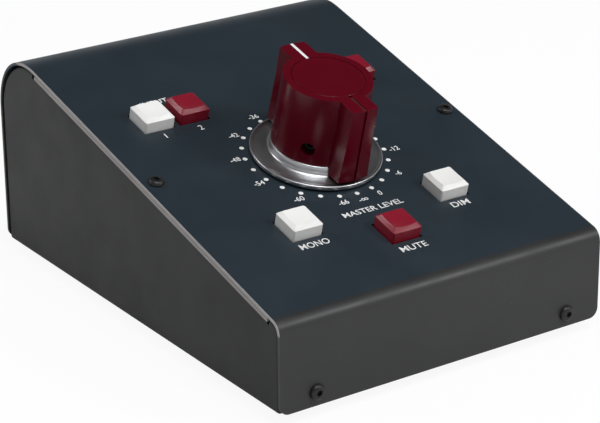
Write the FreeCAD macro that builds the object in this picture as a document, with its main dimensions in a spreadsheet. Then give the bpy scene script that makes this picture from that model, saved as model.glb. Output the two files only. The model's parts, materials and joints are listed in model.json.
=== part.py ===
"""Desktop studio monitor controller: a sloped steel case, one stepped level knob and seven push buttons.

Lengths are millimetres. X runs to the right, Y to the rear, Z up from the surface the feet stand on.
The control panel has a frame of its own: its origin is where the knob's axis meets the outer face,
its X is the object's X, its Y climbs the slope and its Z stands square on the panel.
"""
import FreeCAD, Part
import Sketcher
import math
import os

V = FreeCAD.Vector
doc = FreeCAD.newDocument("monitor_controller")
sizes = doc.addObject("Spreadsheet::Sheet", "Sizes")

SIZES = [
    # case
    ("case_width", 130.0, "left edge to right edge of the folded cover"),
    ("case_depth", 178.6, "outer front face to outer rear face"),
    ("front_height", 31.1, "wall edge to the sharp corner of front face and slope"),
    ("rear_height", 78.4, "wall edge to the sharp corner of rear face and slope"),
    ("cover_sheet", 1.0, "thickness of the cover's steel"),
    ("chassis_sheet", 1.0, "thickness of the chassis's steel"),
    ("front_bend", 4.5, "outer radius of the cover's front bend"),
    ("rear_bend", 21.0, "outer radius of the cover's rear bend"),
    ("wall_corner", 3.5, "radius of the walls' lower corners"),
    ("shell_gap", 0.15, "gap between cover and chassis"),
    ("side_inset", 0.3, "chassis side behind the cover's edge"),
    ("chassis_bend", 1.2, "outer radius of the chassis's side bends"),
    ("flange_width", 12.0, "width of the side's inward flange under the panel"),
    ("flange_front", 6.5, "front end of the flange from the front corner, along the slope"),
    ("flange_rear", 27.6, "rear end of the flange from the rear corner, along the slope"),
    ("lip_height", 11.0, "height of the chassis's front and rear lips"),
    ("lip_inset", 5.0, "end of each lip from the chassis's side"),
    ("cut_over", 1.0, "how far a cutter runs past what it cuts"),
    ("through_cut", 80.0, "length of cutters that go right through"),
    # feet
    ("foot_height", 4.0, "rubber foot under the chassis"),
    ("foot_radius", 6.0, "rubber foot"),
    ("foot_from_side", 12.5, "foot centre from the cover's edge"),
    ("foot_from_end", 15.0, "foot centre from the front and rear faces"),
    ("foot_round", 1.2, "rounding of the foot's lower rim"),
    ("foot_screw_room", 0.6, "room round a screw's head in its foot"),
    # screws
    ("screw_radius", 1.5, "M3 thread"),
    ("screw_length", 6.0, "shank under the head"),
    ("head_radius", 2.75, "button head"),
    ("head_height", 1.65, "button head"),
    ("head_round", 1.3, "rounding of the button head"),
    ("socket_width", 2.0, "hexagon socket across flats"),
    ("socket_depth", 1.1, "hexagon socket"),
    ("screw_clearance", 0.2, "radial room of a screw in a plain hole"),
    ("thread_gap", 0.03, "radial room left between thread solids"),
    ("nut_radius", 3.1, "clinch nut"),
    ("nut_height", 2.0, "clinch nut"),
    ("panel_screw_inset", 5.0, "panel screw from the cover's edge"),
    ("panel_screw_v", 5.8, "panel screw up the slope from the knob's axis"),
    ("wall_screw_inset", 14.0, "front and rear screw from the cover's edge"),
    ("wall_screw_z", 4.9, "front and rear screw above the wall's edge"),
    # buttons
    ("cap_width", 11.4, "square cap"),
    ("cap_hole", 12.4, "square hole for a cap"),
    ("cap_side", 3.7, "cap's upright side above the panel"),
    ("cap_top", 5.1, "cap's top corners above the panel"),
    ("cap_bevel", 1.4, "width of the cap's bevel"),
    ("cap_skirt", 4.0, "cap below the panel's outer face"),
    ("cap_wall", 1.2, "cap's wall"),
    ("cap_roof", 1.4, "cap's roof at its middle"),
    ("cap_edge", 0.6, "rounding of the cap's upright edges"),
    ("cap_dish", 0.55, "depth of the dished top"),
    ("dish_radius", 32.0, "radius of the dished top"),
    ("plunger_width", 3.2, "square plunger"),
    ("button_travel", 3.0, "stroke of a button"),
    ("button_gap", 0.4, "room left under a pressed cap"),
    ("switch_width", 8.4, "push switch housing"),
    ("switch_height", 8.0, "push switch housing"),
    ("plunger_gap", 0.2, "room round a plunger in its housing"),
    ("select_inset", 29.75, "middle of a pair of selector buttons from the cover's edge"),
    ("select_pitch", 14.1, "selector button to selector button"),
    ("select_back", 70.1, "selector buttons from the rear corner, along the slope"),
    ("side_button_x", 30.0, "outer lower buttons from the centre line"),
    ("side_button_v", 34.5, "outer lower buttons down the slope from the knob's axis"),
    ("middle_button_v", 48.4, "middle lower button down the slope from the knob's axis"),
    ("plunger_room", 1.0, "room under a pressed plunger"),
    ("switch_floor", 0.6, "floor of a push switch's housing"),
    # knob
    ("knob_run", 76.25, "knob's axis from the front corner, along the slope"),
    ("knob_top", 31.1, "knob's top above the panel"),
    ("knob_foot", 5.5, "knob's lower rim above the panel"),
    ("knob_top_radius", 15.4, "round body at the top"),
    ("knob_foot_radius", 16.1, "round body at the foot"),
    ("knob_wall", 2.6, "wall and roof of the knob"),
    ("boss_radius", 7.6, "core of the knob round the insert"),
    ("wing_reach", 22.6, "wing's end from the axis"),
    ("wing_width", 10.2, "wing across, at the top"),
    ("wing_tip_flare", 0.9, "each side's spread of the wing's end, at the foot"),
    ("wing_root_flare", 1.2, "each side's spread of the wing's root, at the foot"),
    ("wing_foot", 3.3, "wing's lower end above the panel"),
    ("flare_top", 20.0, "where the wing's spread ends, above the panel"),
    ("groove_width", 0.7, "line cut in each wing"),
    ("groove_depth", 0.6, "line cut in each wing"),
    ("pointer_width", 1.1, "white pointer line"),
    ("disc_radius", 12.4, "disc let into the knob's top"),
    ("disc_gap", 0.25, "groove round the disc"),
    ("disc_height", 1.2, "disc let into the knob's top"),
    ("grub_height", 11.2, "grub screw above the panel"),
    ("grub_angle", 220.7, "grub screw's side of the knob, from +X towards +Y"),
    ("grub_hole", 2.5, "radius of the hole over the grub screw"),
    ("grub_radius", 2.0, "M4 grub screw"),
    ("grub_length", 5.0, "M4 grub screw"),
    ("grub_socket", 2.0, "depth of the grub screw's socket"),
    ("insert_radius", 5.5, "brass insert"),
    ("insert_top", 24.0, "top of the brass insert above the panel"),
    # skirt under the knob
    ("rim_radius", 23.0, "outer rim of the skirt"),
    ("rim_low", 0.7, "rim's underside above the panel"),
    ("rim_high", 2.2, "rim's top above the panel"),
    ("rim_round", 0.25, "broken edges of the rim"),
    ("rim_foot", 1.2, "width of the rim's underside"),
    ("rim_crest", 0.8, "width of the rim's top"),
    ("rim_fall", 0.35, "step behind the rim's top"),
    ("dish_edge", 2.6, "where the dish starts, in from the rim"),
    ("collar_radius", 16.4, "skirt's collar under the knob"),
    ("collar_low", 3.5, "where the dish meets the collar, above the panel"),
    ("collar_gap", 0.6, "room between the collar and the wings' feet"),
    ("dish_drop", 0.9, "fall of the dish just outside the collar"),
    ("dish_reach", 1.4, "width of that fall"),
    ("skirt_sheet", 1.0, "skirt's thickness"),
    ("skirt_hole", 8.6, "hole in the middle of the skirt"),
    # rotary switch
    ("shaft_radius", 3.0, "switch shaft"),
    ("shaft_top", 20.0, "top of the shaft above the panel"),
    ("shaft_room", 0.6, "room between the shaft's end and the control board"),
    ("running_gap", 0.05, "radial room of the shaft in its bushing"),
    ("bushing_radius", 4.6, "threaded bushing"),
    ("bushing_top", 2.8, "bushing above the panel"),
    ("bushing_gap", 0.2, "room round the bushing in the panel"),
    ("bushing_nut", 14.0, "nut across flats"),
    ("bushing_nut_height", 1.6, "nut"),
    ("washer_height", 0.5, "washers"),
    ("washer_radius", 7.6, "washer under the bushing's nut"),
    ("index_radius", 13.5, "index housing"),
    ("index_height", 5.0, "index housing"),
    ("index_wall", 0.9, "index housing's wall"),
    ("star_radius", 9.0, "star wheel to the tips"),
    ("star_height", 2.0, "star wheel"),
    ("star_teeth", 24, "one tooth for each step"),
    ("tooth_depth", 0.8, "star wheel's notches"),
    ("ball_radius", 1.3, "index ball"),
    ("ball_gap", 0.1, "room between the index ball and the star wheel's tips"),
    ("spring_radius", 1.04, "index spring"),
    ("spring_gap", 0.15, "room behind the index spring"),
    ("wafer_radius", 13.5, "contact wafer"),
    ("wafer_sheet", 1.0, "contact wafer"),
    ("wafer_pitch", 3.2, "wafer to wafer"),
    ("rotor_radius", 7.0, "rotor contact"),
    ("rotor_sheet", 0.8, "rotor contact"),
    ("inner_gap", 0.3, "room between turning and fixed pieces"),
    ("post_count", 4, "posts that hold the wafers"),
    ("post_radius", 1.1, "posts that hold the wafers"),
    ("post_circle", 11.6, "posts from the axis"),
    ("pin_radius", 0.4, "terminal pin"),
    ("pin_circle", 12.7, "terminal pins from the axis"),
    ("pin_count", 24, "terminal pins"),
    # control board
    ("board_sheet", 1.6, "both circuit boards"),
    ("board_inset", 9.0, "control board's sides from the cover's edges"),
    ("board_front", 58.0, "control board's front edge down the slope from the knob's axis"),
    ("board_back", 50.5, "control board's rear edge from the rear corner, along the slope"),
    ("standoff_inset", 5.7, "standoff from the flange's edge"),
    ("standoff_end", 6.0, "standoff from the control board's front and rear edges"),
    ("standoff_width", 5.5, "hexagon standoff across flats"),
    ("resistor_radius", 1.1, "ladder resistor"),
    ("resistor_length", 5.5, "ladder resistor"),
    ("resistor_circle", 21.0, "ladder resistors' middles from the axis"),
    ("resistor_count", 24, "ladder resistors"),
    # rear jacks
    ("jack_pitch", 27.0, "jack to jack across"),
    ("jack_low", 19.0, "lower row above the wall's edge"),
    ("jack_rise", 21.0, "lower row to upper row"),
    ("jack_width", 15.0, "jack body across and up"),
    ("jack_depth", 23.0, "jack body behind the wall"),
    ("jack_bore", 3.25, "bore for a 6.35 mm plug"),
    ("jack_bore_depth", 26.0, "bore from its mouth"),
    ("jack_thread", 5.2, "threaded nose"),
    ("jack_thread_gap", 0.2, "room round the nose in the wall"),
    ("jack_nose", 3.6, "nose beyond the wall"),
    ("jack_nut", 14.0, "jack nut across flats"),
    ("jack_nut_height", 2.2, "jack nut"),
    ("jack_washer_radius", 7.4, "washer under the jack's nut"),
    ("jack_board_margin", 11.5, "jack board's sides from the outer jacks"),
    ("jack_board_height", 42.0, "jack board"),
    # ribbon between the boards
    ("ribbon_width", 20.0, "ribbon cable across"),
    ("ribbon_sheet", 0.9, "ribbon cable"),
    ("ribbon_bend", 9.0, "radius of the ribbon's bend"),
    ("header_width", 24.0, "connector"),
    ("header_depth", 6.0, "connector"),
    ("header_height", 8.0, "connector"),
    ("header_back", 60.5, "control board's connector from the rear corner, along the slope"),
]

for row, (word, number, note) in enumerate(SIZES, start=1):
    sizes.set("A%d" % row, word)
    sizes.set("B%d" % row, str(number))
    sizes.set("C%d" % row, note)
    sizes.setAlias("B%d" % row, word)

derived = doc.addObject("App::VarSet", "Derived")
doc.recompute()


def derive(word, formula, kind="App::PropertyFloat"):
    """A value that follows from the sheet."""
    derived.addProperty(kind, word)
    derived.setExpression(word, formula)
    doc.recompute()


def number(formula):
    """A formula's present value as a plain number."""
    result = doc.Sizes.evalExpression(formula)
    return float(getattr(result, "Value", result))


derive("slope", "atan((Sizes.rear_height - Sizes.front_height) / Sizes.case_depth)", "App::PropertyAngle")
derive("rise", "sin(Derived.slope)")
derive("run", "cos(Derived.slope)")
derive("front_proud", "Sizes.head_height")
derive("rear_proud", "Sizes.jack_nose")
derive("front_y", "-(Sizes.case_depth + Derived.front_proud + Derived.rear_proud) / 2 + Derived.front_proud")
derive("rear_y", "Derived.front_y + Sizes.case_depth")
derive("knob_y", "Derived.front_y + Sizes.knob_run * Derived.run")
derive("knob_z", "Sizes.foot_height + Sizes.front_height + Sizes.knob_run * Derived.rise")
derive("slope_length", "Sizes.case_depth / Derived.run")
derive("chassis_half", "Sizes.case_width / 2 - Sizes.side_inset")
derive("flange_top", "-Sizes.cover_sheet - Sizes.shell_gap")
derive("panel_screw_x", "Sizes.case_width / 2 - Sizes.panel_screw_inset")
derive("wall_screw_x", "Sizes.case_width / 2 - Sizes.wall_screw_inset")
derive("rear_corner_v", "Derived.slope_length - Sizes.knob_run")
derive("select_x", "Sizes.case_width / 2 - Sizes.select_inset")
derive("select_v", "Derived.rear_corner_v - Sizes.select_back")
derive("header_v", "Derived.rear_corner_v - Sizes.header_back")
derive("board_width", "Sizes.case_width - 2 * Sizes.board_inset")
derive("board_rear", "Derived.rear_corner_v - Sizes.board_back")
derive("standoff_x", "Derived.chassis_half - Sizes.flange_width - Sizes.standoff_inset")
derive("standoff_front", "Sizes.board_front - Sizes.standoff_end")
derive("standoff_rear", "Derived.board_rear - Sizes.standoff_end")
derive("cap_floor", "-Sizes.cap_skirt - Sizes.button_travel - Sizes.button_gap")
derive("board_top", "Derived.cap_floor - Sizes.switch_height")
derive("index_top", "-Sizes.cover_sheet")
derive("index_floor", "Derived.index_top - Sizes.index_height")
derive("star_low", "Derived.index_floor + Sizes.index_wall + Sizes.inner_gap")

NEAR = 0.1
made = []


def keep(piece, label):
    """Name a finished sub-part and list it for writing."""
    piece.Label = label
    made.append(piece)
    return piece


def bind(piece, **formulas):
    """Tie properties of one object to formulas; a double underscore stands for a dot."""
    for word, formula in formulas.items():
        piece.setExpression(word.replace("__", "."), formula)
    return piece


def at(piece, x="0", y="0", z="0"):
    """Place an object in the case's frame."""
    return bind(piece, Placement__Base__x=x, Placement__Base__y=y, Placement__Base__z=z)


def on_panel(piece, x="0", v="0", w="0"):
    """Place an object in the panel's frame: x across, v up the slope, w out of the panel."""
    piece.Placement = FreeCAD.Placement(V(0, 0, 0), FreeCAD.Rotation(V(1, 0, 0), 10))
    y = "Derived.knob_y + (%s) * Derived.run - (%s) * Derived.rise" % (v, w)
    z = "Derived.knob_z + (%s) * Derived.rise + (%s) * Derived.run" % (v, w)
    return bind(piece, Placement__Rotation__Angle="Derived.slope",
                Placement__Base__x=x, Placement__Base__y=y, Placement__Base__z=z)


def cylinder(radius, height, x="0", y="0", z="0"):
    """An upright cylinder in its local frame."""
    piece = doc.addObject("Part::Cylinder", "cylinder")
    bind(piece, Radius=radius, Height=height)
    return at(piece, x, y, z)


def rear_cylinder(radius, height, x="0", y="0", z="0"):
    """A cylinder whose axis points to the rear."""
    piece = doc.addObject("Part::Cylinder", "cylinder")
    piece.Placement = FreeCAD.Placement(V(0, 0, 0), FreeCAD.Rotation(V(1, 0, 0), -90))
    bind(piece, Radius=radius, Height=height)
    return at(piece, x, y, z)


def hexagon(width, height, z="0"):
    """An upright hexagonal bar, given across its flats."""
    piece = doc.addObject("Part::Prism", "hexagon")
    piece.Polygon = 6
    bind(piece, Circumradius="(%s) / sqrt(3)" % width, Height=height)
    return at(piece, "0", "0", z)


def block(length, width, height, x="0", y="0", z="0"):
    """A box centred on x and y, standing on z."""
    piece = doc.addObject("Part::Box", "block")
    bind(piece, Length=length, Width=width, Height=height)
    return at(piece, "(%s) - (%s) / 2" % (x, length), "(%s) - (%s) / 2" % (y, width), z)


def cut(base, tools):
    """A base with one or more tools taken out of it."""
    piece = doc.addObject("Part::Cut", "cut")
    piece.Base = base
    piece.Tool = tools[0] if len(tools) == 1 else together(tools)
    return piece


def fuse(members):
    """Several solids made one."""
    piece = doc.addObject("Part::MultiFuse", "fuse")
    piece.Shapes = members
    piece.Refine = True
    return piece


def together(members):
    """Several separate solids in one object."""
    piece = doc.addObject("Part::Compound", "together")
    piece.Links = members
    return piece


def copy_of(piece, name="copy"):
    """A further object with the shape of another, free to be placed."""
    twin = doc.addObject("Part::Refine", name)
    twin.Source = piece
    return twin


def plane_of(body, role):
    """One of a body's own origin planes."""
    return [item for item in body.Origin.OriginFeatures if item.Role == role][0]


def polygon(body, role, points, name="outline"):
    """A closed sketch whose corners are tied to formulas on one of the body's planes."""
    sketch = body.newObject("Sketcher::SketchObject", name)
    sketch.AttachmentSupport = [(plane_of(body, role), "")]
    sketch.MapMode = "FlatFace"
    corners = [V(number(x), number(y), 0) for x, y in points]
    count = len(corners)
    for i in range(count):
        sketch.addGeometry(Part.LineSegment(corners[i], corners[(i + 1) % count]), False)
    for i in range(count):
        sketch.addConstraint(Sketcher.Constraint("Coincident", i, 2, (i + 1) % count, 1))
    for i, (x, y) in enumerate(points):
        tie(sketch, i, 1, "DistanceX", x, corners[i].x, -2)
        tie(sketch, i, 1, "DistanceY", y, corners[i].y, -1)
    return sketch


def tie(sketch, line, end, kind, formula, value, axis):
    """Hold one coordinate of a sketched point at a formula, or on an axis where it is nought."""
    if formula == "0":
        sketch.addConstraint(Sketcher.Constraint("PointOnObject", line, end, axis))
        return
    index = sketch.addConstraint(Sketcher.Constraint(kind, -1, 1, line, end, value))
    sketch.setExpression("Constraints[%d]" % index, formula)


def turned(points, name="turned"):
    """A body turned about its local Z from an outline of radius and height."""
    body = doc.addObject("PartDesign::Body", name)
    sketch = polygon(body, "XZ_Plane", points)
    feature = body.newObject("PartDesign::Revolution", "revolution")
    feature.Profile = sketch
    feature.ReferenceAxis = (sketch, ["V_Axis"])
    feature.Angle = 360
    doc.recompute()
    return body


def padded(points, role, length, name="padded", both_ways=False):
    """A body extruded from an outline on one of its planes."""
    body = doc.addObject("PartDesign::Body", name)
    sketch = polygon(body, role, points)
    feature = body.newObject("PartDesign::Pad", "pad")
    feature.Profile = sketch
    feature.Midplane = both_ways
    feature.setExpression("Length", length)
    doc.recompute()
    return body


def dress(body, kind, size, test, name):
    """Round or chamfer the edges of a body's tip that a test picks."""
    base = body.Tip
    names = ["Edge%d" % (i + 1) for i, edge in enumerate(base.Shape.Edges) if test(edge)]
    feature = body.newObject(kind, name)
    feature.Base = (base, names)
    feature.setExpression("Radius" if kind.endswith("Fillet") else "Size", size)
    body.Tip = feature
    doc.recompute()
    return feature


def runs(edge, direction):
    """Whether an edge is a straight line in a direction."""
    if not isinstance(edge.Curve, Part.Line):
        return False
    return abs(abs(edge.tangentAt(edge.FirstParameter).dot(direction)) - 1) < 1e-6


# Case: the cover is a wedge with rounded bends, hollowed by a smaller wedge that is open below and at the sides.
def wedge(front, rear, low, drop, width, front_round, rear_round, name):
    """A solid between a front and a rear face under a plane parallel to the slope, drop below it."""
    top = "Sizes.foot_height + Sizes.front_height - (%s) / Derived.run" % drop
    at_front = "%s + ((%s) - Derived.front_y) * Derived.rise / Derived.run" % (top, front)
    at_rear = "%s + ((%s) - Derived.front_y) * Derived.rise / Derived.run" % (top, rear)
    body = padded([(front, low), (rear, low), (rear, at_rear), (front, at_front)],
                  "YZ_Plane", width, name, both_ways=True)
    x_axis = V(1, 0, 0)
    high_front = number(at_front)
    high_rear = number(at_rear)
    dress(body, "PartDesign::Fillet", front_round,
          lambda e: runs(e, x_axis) and abs(e.CenterOfMass.z - high_front) < 1e-3, "front_round")
    dress(body, "PartDesign::Fillet", rear_round,
          lambda e: runs(e, x_axis) and abs(e.CenterOfMass.z - high_rear) < 1e-3, "rear_round")
    return body


outer = wedge("Derived.front_y", "Derived.rear_y", "Sizes.foot_height", "0", "Sizes.case_width",
              "Sizes.front_bend", "Sizes.rear_bend", "cover_outside")
dress(outer, "PartDesign::Fillet", "Sizes.wall_corner",
      lambda e: runs(e, V(0, 1, 0)) and e.CenterOfMass.z < number("Sizes.foot_height") + NEAR, "lower_corners")
inner = wedge("Derived.front_y + Sizes.cover_sheet", "Derived.rear_y - Sizes.cover_sheet",
              "0", "Sizes.cover_sheet", "Sizes.case_width + 2 * Sizes.cut_over",
              "Sizes.front_bend - Sizes.cover_sheet", "Sizes.rear_bend - Sizes.cover_sheet", "cover_inside")

BUTTONS = [
    ("input_1", "-Derived.select_x - Sizes.select_pitch / 2", "Derived.select_v"),
    ("input_2", "-Derived.select_x + Sizes.select_pitch / 2", "Derived.select_v"),
    ("output_1", "Derived.select_x - Sizes.select_pitch / 2", "Derived.select_v"),
    ("output_2", "Derived.select_x + Sizes.select_pitch / 2", "Derived.select_v"),
    ("mono", "-Sizes.side_button_x", "-Sizes.side_button_v"),
    ("mute", "0", "-Sizes.middle_button_v"),
    ("dim", "Sizes.side_button_x", "-Sizes.side_button_v"),
]
JACKS = [(column, level) for level in (0, 1) for column in (-1.5, -0.5, 0.5, 1.5)]
SIDES = ("-", "")


def jack_x(column):
    """A jack's place across."""
    return "%s * Sizes.jack_pitch" % column


def jack_z(level):
    """A jack's place above the surface the feet stand on."""
    return "Sizes.foot_height + Sizes.jack_low + %d * Sizes.jack_rise" % level


def through(radius):
    """An upright cutter longer than whatever it goes through."""
    return cylinder(radius, "Sizes.through_cut", z="-Sizes.through_cut / 2")


def panel_hole(radius, x, v, top="Sizes.cut_over", depth="Sizes.cover_sheet + 2 * Sizes.cut_over"):
    """A round cutter through the panel."""
    return on_panel(cylinder(radius, depth), x, v, "%s - (%s)" % (top, depth))


def square_hole(width, x, v):
    """A square cutter through the panel."""
    tool = doc.addObject("Part::Box", "square")
    bind(tool, Length=width, Width=width, Height="Sizes.cover_sheet + 2 * Sizes.cut_over")
    return on_panel(tool, "(%s) - (%s) / 2" % (x, width), "(%s) - (%s) / 2" % (v, width),
                    "-Sizes.cover_sheet - Sizes.cut_over")


screw_hole = "Sizes.screw_radius + Sizes.screw_clearance"
wall_z = "Sizes.foot_height + Sizes.wall_screw_z"
tools = [inner]
tools += [square_hole("Sizes.cap_hole", x, v) for _, x, v in BUTTONS]
tools.append(panel_hole("Sizes.bushing_radius + Sizes.bushing_gap", "0", "0"))
for sign in SIDES:
    tools.append(panel_hole(screw_hole, sign + "Derived.panel_screw_x", "Sizes.panel_screw_v"))
    tools.append(rear_cylinder(screw_hole, "Sizes.case_depth + 2 * Sizes.cut_over", sign + "Derived.wall_screw_x",
                               "Derived.front_y - Sizes.cut_over", wall_z))
for column, level in JACKS:
    tools.append(rear_cylinder("Sizes.jack_thread + Sizes.jack_thread_gap", "Sizes.cover_sheet + 2 * Sizes.cut_over",
                               jack_x(column), "Derived.rear_y - Sizes.cover_sheet - Sizes.cut_over", jack_z(level)))
keep(cut(outer, tools), "top_cover")

# Chassis: bottom and two sides folded from one sheet, with flanges under the panel and a lip at each end.
shell_in = "(Sizes.cover_sheet + Sizes.shell_gap)"
solid = wedge("Derived.front_y + " + shell_in, "Derived.rear_y - " + shell_in, "Sizes.foot_height",
              shell_in, "2 * Derived.chassis_half", "Sizes.front_bend - " + shell_in,
              "Sizes.rear_bend - " + shell_in, "chassis_outside")
dress(solid, "PartDesign::Fillet", "Sizes.chassis_bend",
      lambda e: runs(e, V(0, 1, 0)) and e.CenterOfMass.z < number("Sizes.foot_height") + NEAR, "side_bends")
slope_edge = V(0, number("Derived.run"), number("Derived.rise"))
dress(solid, "PartDesign::Fillet", "Sizes.chassis_bend", lambda e: runs(e, slope_edge), "flange_bends")
room = block("2 * (Derived.chassis_half - Sizes.chassis_sheet)",
             "Sizes.case_depth", "Sizes.rear_height + Sizes.chassis_sheet", "0",
             "(Derived.front_y + Derived.rear_y) / 2", "Sizes.foot_height + Sizes.chassis_sheet")
tray = cut(solid, [room])
flange_long = "Derived.slope_length - Sizes.flange_front - Sizes.flange_rear"
pieces = [tray]
for side, start in (("left", "-Derived.chassis_half + Sizes.chassis_sheet"),
                    ("right", "Derived.chassis_half - Sizes.chassis_sheet - Sizes.flange_width")):
    flange = doc.addObject("Part::Box", "flange_" + side)
    bind(flange, Length="Sizes.flange_width", Width=flange_long, Height="Sizes.chassis_sheet")
    pieces.append(on_panel(flange, start, "Sizes.flange_front - Sizes.knob_run",
                           "Derived.flange_top - Sizes.chassis_sheet"))
lip_long = "2 * (Derived.chassis_half - Sizes.lip_inset)"
for end in ("Derived.front_y + %s" % shell_in, "Derived.rear_y - %s - Sizes.chassis_sheet" % shell_in):
    pieces.append(block(lip_long, "Sizes.chassis_sheet", "Sizes.lip_height", "0",
                        "%s + Sizes.chassis_sheet / 2" % end, "Sizes.foot_height"))
notches = []
for sign in SIDES:
    notches.append(panel_hole(screw_hole, sign + "Derived.panel_screw_x", "Sizes.panel_screw_v",
                              "Derived.flange_top + Sizes.cut_over", "Sizes.chassis_sheet + 2 * Sizes.cut_over"))
    notches.append(rear_cylinder(screw_hole, "Sizes.case_depth + 2 * Sizes.cut_over", sign + "Derived.wall_screw_x",
                                 "Derived.front_y - Sizes.cut_over", wall_z))
FEET = []
for row, y in (("front", "Derived.front_y + Sizes.foot_from_end"), ("rear", "Derived.rear_y - Sizes.foot_from_end")):
    for side, sign in (("left", "-"), ("right", "")):
        FEET.append((row + "_" + side, sign + "(Sizes.case_width / 2 - Sizes.foot_from_side)", y))
for _, x, y in FEET:
    notches.append(cylinder(screw_hole, "Sizes.chassis_sheet + 2 * Sizes.cut_over", x, y, "Sizes.foot_height - Sizes.cut_over"))
keep(cut(fuse(pieces), notches), "bottom_chassis")


# Screws: a button head with a hexagon socket, modelled with the head upwards and its seat at nought.
def button_screw(name, length="Sizes.screw_length"):
    """One button-head screw, its shank pointing down."""
    body = turned([("0", "-(%s)" % length), ("Sizes.screw_radius", "-(%s)" % length),
                   ("Sizes.screw_radius", "0"), ("Sizes.head_radius", "0"),
                   ("Sizes.head_radius", "Sizes.head_height"), ("0", "Sizes.head_height")], name)
    head_height = number("Sizes.head_height")
    dress(body, "PartDesign::Fillet", "Sizes.head_round",
          lambda e: abs(e.BoundBox.ZMin - head_height) < 1e-4 and e.BoundBox.ZLength < 1e-4, "head_round")
    socket = hexagon("Sizes.socket_width", "Sizes.socket_depth + Sizes.cut_over", "Sizes.head_height - Sizes.socket_depth")
    return cut(body, [socket])


def clinch_nut():
    """One round nut, its seat at nought and its body below."""
    return cut(cylinder("Sizes.nut_radius", "Sizes.nut_height", z="-Sizes.nut_height"),
               [cylinder("Sizes.screw_radius + Sizes.thread_gap", "Sizes.nut_height + 2 * Sizes.cut_over",
                         z="-Sizes.nut_height - Sizes.cut_over")])


def turn_to(piece, axis, angle, x, y, z):
    """Turn an object about a row axis and place it in the case's frame."""
    piece.Placement = FreeCAD.Placement(V(0, 0, 0), FreeCAD.Rotation(axis, angle))
    return at(piece, x, y, z)


X_AXIS = V(1, 0, 0)
panel_screws = []
front_screws = []
rear_screws = []
nuts = []
for sign in SIDES:
    x = sign + "Derived.panel_screw_x"
    panel_screws.append(on_panel(button_screw("panel_screw"), x, "Sizes.panel_screw_v", "0"))
    nuts.append(on_panel(clinch_nut(), x, "Sizes.panel_screw_v", "Derived.flange_top - Sizes.chassis_sheet"))
    x = sign + "Derived.wall_screw_x"
    front_screws.append(turn_to(button_screw("front_screw"), X_AXIS, 90, x, "Derived.front_y", wall_z))
    rear_screws.append(turn_to(button_screw("rear_screw"), X_AXIS, -90, x, "Derived.rear_y", wall_z))
    lip_in = "%s + Sizes.chassis_sheet" % shell_in
    nuts.append(turn_to(clinch_nut(), X_AXIS, 90, x, "Derived.front_y + " + lip_in, wall_z))
    nuts.append(turn_to(clinch_nut(), X_AXIS, -90, x, "Derived.rear_y - (%s)" % lip_in, wall_z))
keep(together(panel_screws), "panel_screws")
keep(together(front_screws), "front_screws")
keep(together(rear_screws), "rear_screws")
keep(together(nuts), "clinch_nuts")

# Feet: rubber discs held by a screw whose head sits in a recess below.
foot_screws = []
for place, x, y in FEET:
    recess = "Sizes.head_height + Sizes.foot_screw_room"
    body = turned([(screw_hole, recess), ("Sizes.head_radius + Sizes.foot_screw_room", recess),
                   ("Sizes.head_radius + Sizes.foot_screw_room", "0"), ("Sizes.foot_radius", "0"),
                   ("Sizes.foot_radius", "Sizes.foot_height"), (screw_hole, "Sizes.foot_height")], "foot")
    dress(body, "PartDesign::Fillet", "Sizes.foot_round",
          lambda e: e.BoundBox.ZMax < 1e-4 and e.BoundBox.XMax > number("Sizes.foot_radius") - NEAR, "rim")
    keep(at(body, x, y, "0"), "foot_" + place)
    foot_screws.append(turn_to(button_screw("foot_screw"), X_AXIS, 180, x, y, recess))
keep(together(foot_screws), "foot_screws")

# Knob: a round body with two wings, cored from below for the insert, on a dished skirt.
round_body = turned([("0", "Sizes.knob_foot"), ("Sizes.knob_foot_radius", "Sizes.knob_foot"),
                     ("Sizes.knob_top_radius", "Sizes.knob_top"), ("0", "Sizes.knob_top")], "round_body")
half = "Sizes.wing_width / 2"
wings = []
for way, sense in (("rear", 1), ("front", -1)):
    body = doc.addObject("PartDesign::Body", way + "_wing")
    reach = "%d * (Sizes.wing_reach + 2 * Sizes.cut_over)" % sense
    root = "%d * Sizes.boss_radius" % sense
    sections = []
    for level, tip_spread, root_spread in (("Sizes.wing_foot", "Sizes.wing_tip_flare", "Sizes.wing_root_flare"),
                                           ("Sizes.flare_top", "0", "0")):
        tip = "%s + %s" % (half, tip_spread)
        base = "%s + %s" % (half, root_spread)
        corners = [("-(%s)" % base, root), (base, root), (tip, reach), ("-(%s)" % tip, reach)]
        sketch = polygon(body, "XY_Plane", corners, "section")
        sketch.setExpression("AttachmentOffset.Base.z", level)
        sections.append(sketch)
    doc.recompute()
    loft = body.newObject("PartDesign::AdditiveLoft", "flare")
    loft.Profile = sections[0]
    loft.Sections = [sections[1]]
    loft.Ruled = True
    doc.recompute()
    upper = doc.addObject("Part::Box", "upper_wing")
    span = "Sizes.wing_reach + 2 * Sizes.cut_over - Sizes.boss_radius"
    bind(upper, Length="Sizes.wing_width", Width=span, Height="Sizes.knob_top - Sizes.flare_top")
    y = "Sizes.boss_radius" if sense > 0 else "-Sizes.wing_reach - 2 * Sizes.cut_over"
    wings += [body, at(upper, "-" + half, y, "Sizes.flare_top")]
full = fuse([round_body] + wings)
reach_limit = cylinder("Sizes.wing_reach", "Sizes.knob_top", z="0")
trimmed = doc.addObject("Part::Common", "trimmed")
trimmed.Base = full
trimmed.Tool = reach_limit
inside = "Sizes.knob_top_radius - Sizes.knob_wall"
hollow = cut(cylinder(inside, "Sizes.knob_top - Sizes.disc_height - Sizes.knob_wall + Sizes.cut_over", z="-Sizes.cut_over"),
             [cylinder("Sizes.boss_radius", "Sizes.knob_top + 2 * Sizes.cut_over",
                       z="Sizes.bushing_top + Sizes.inner_gap + Sizes.knob_foot / 2")])
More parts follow.
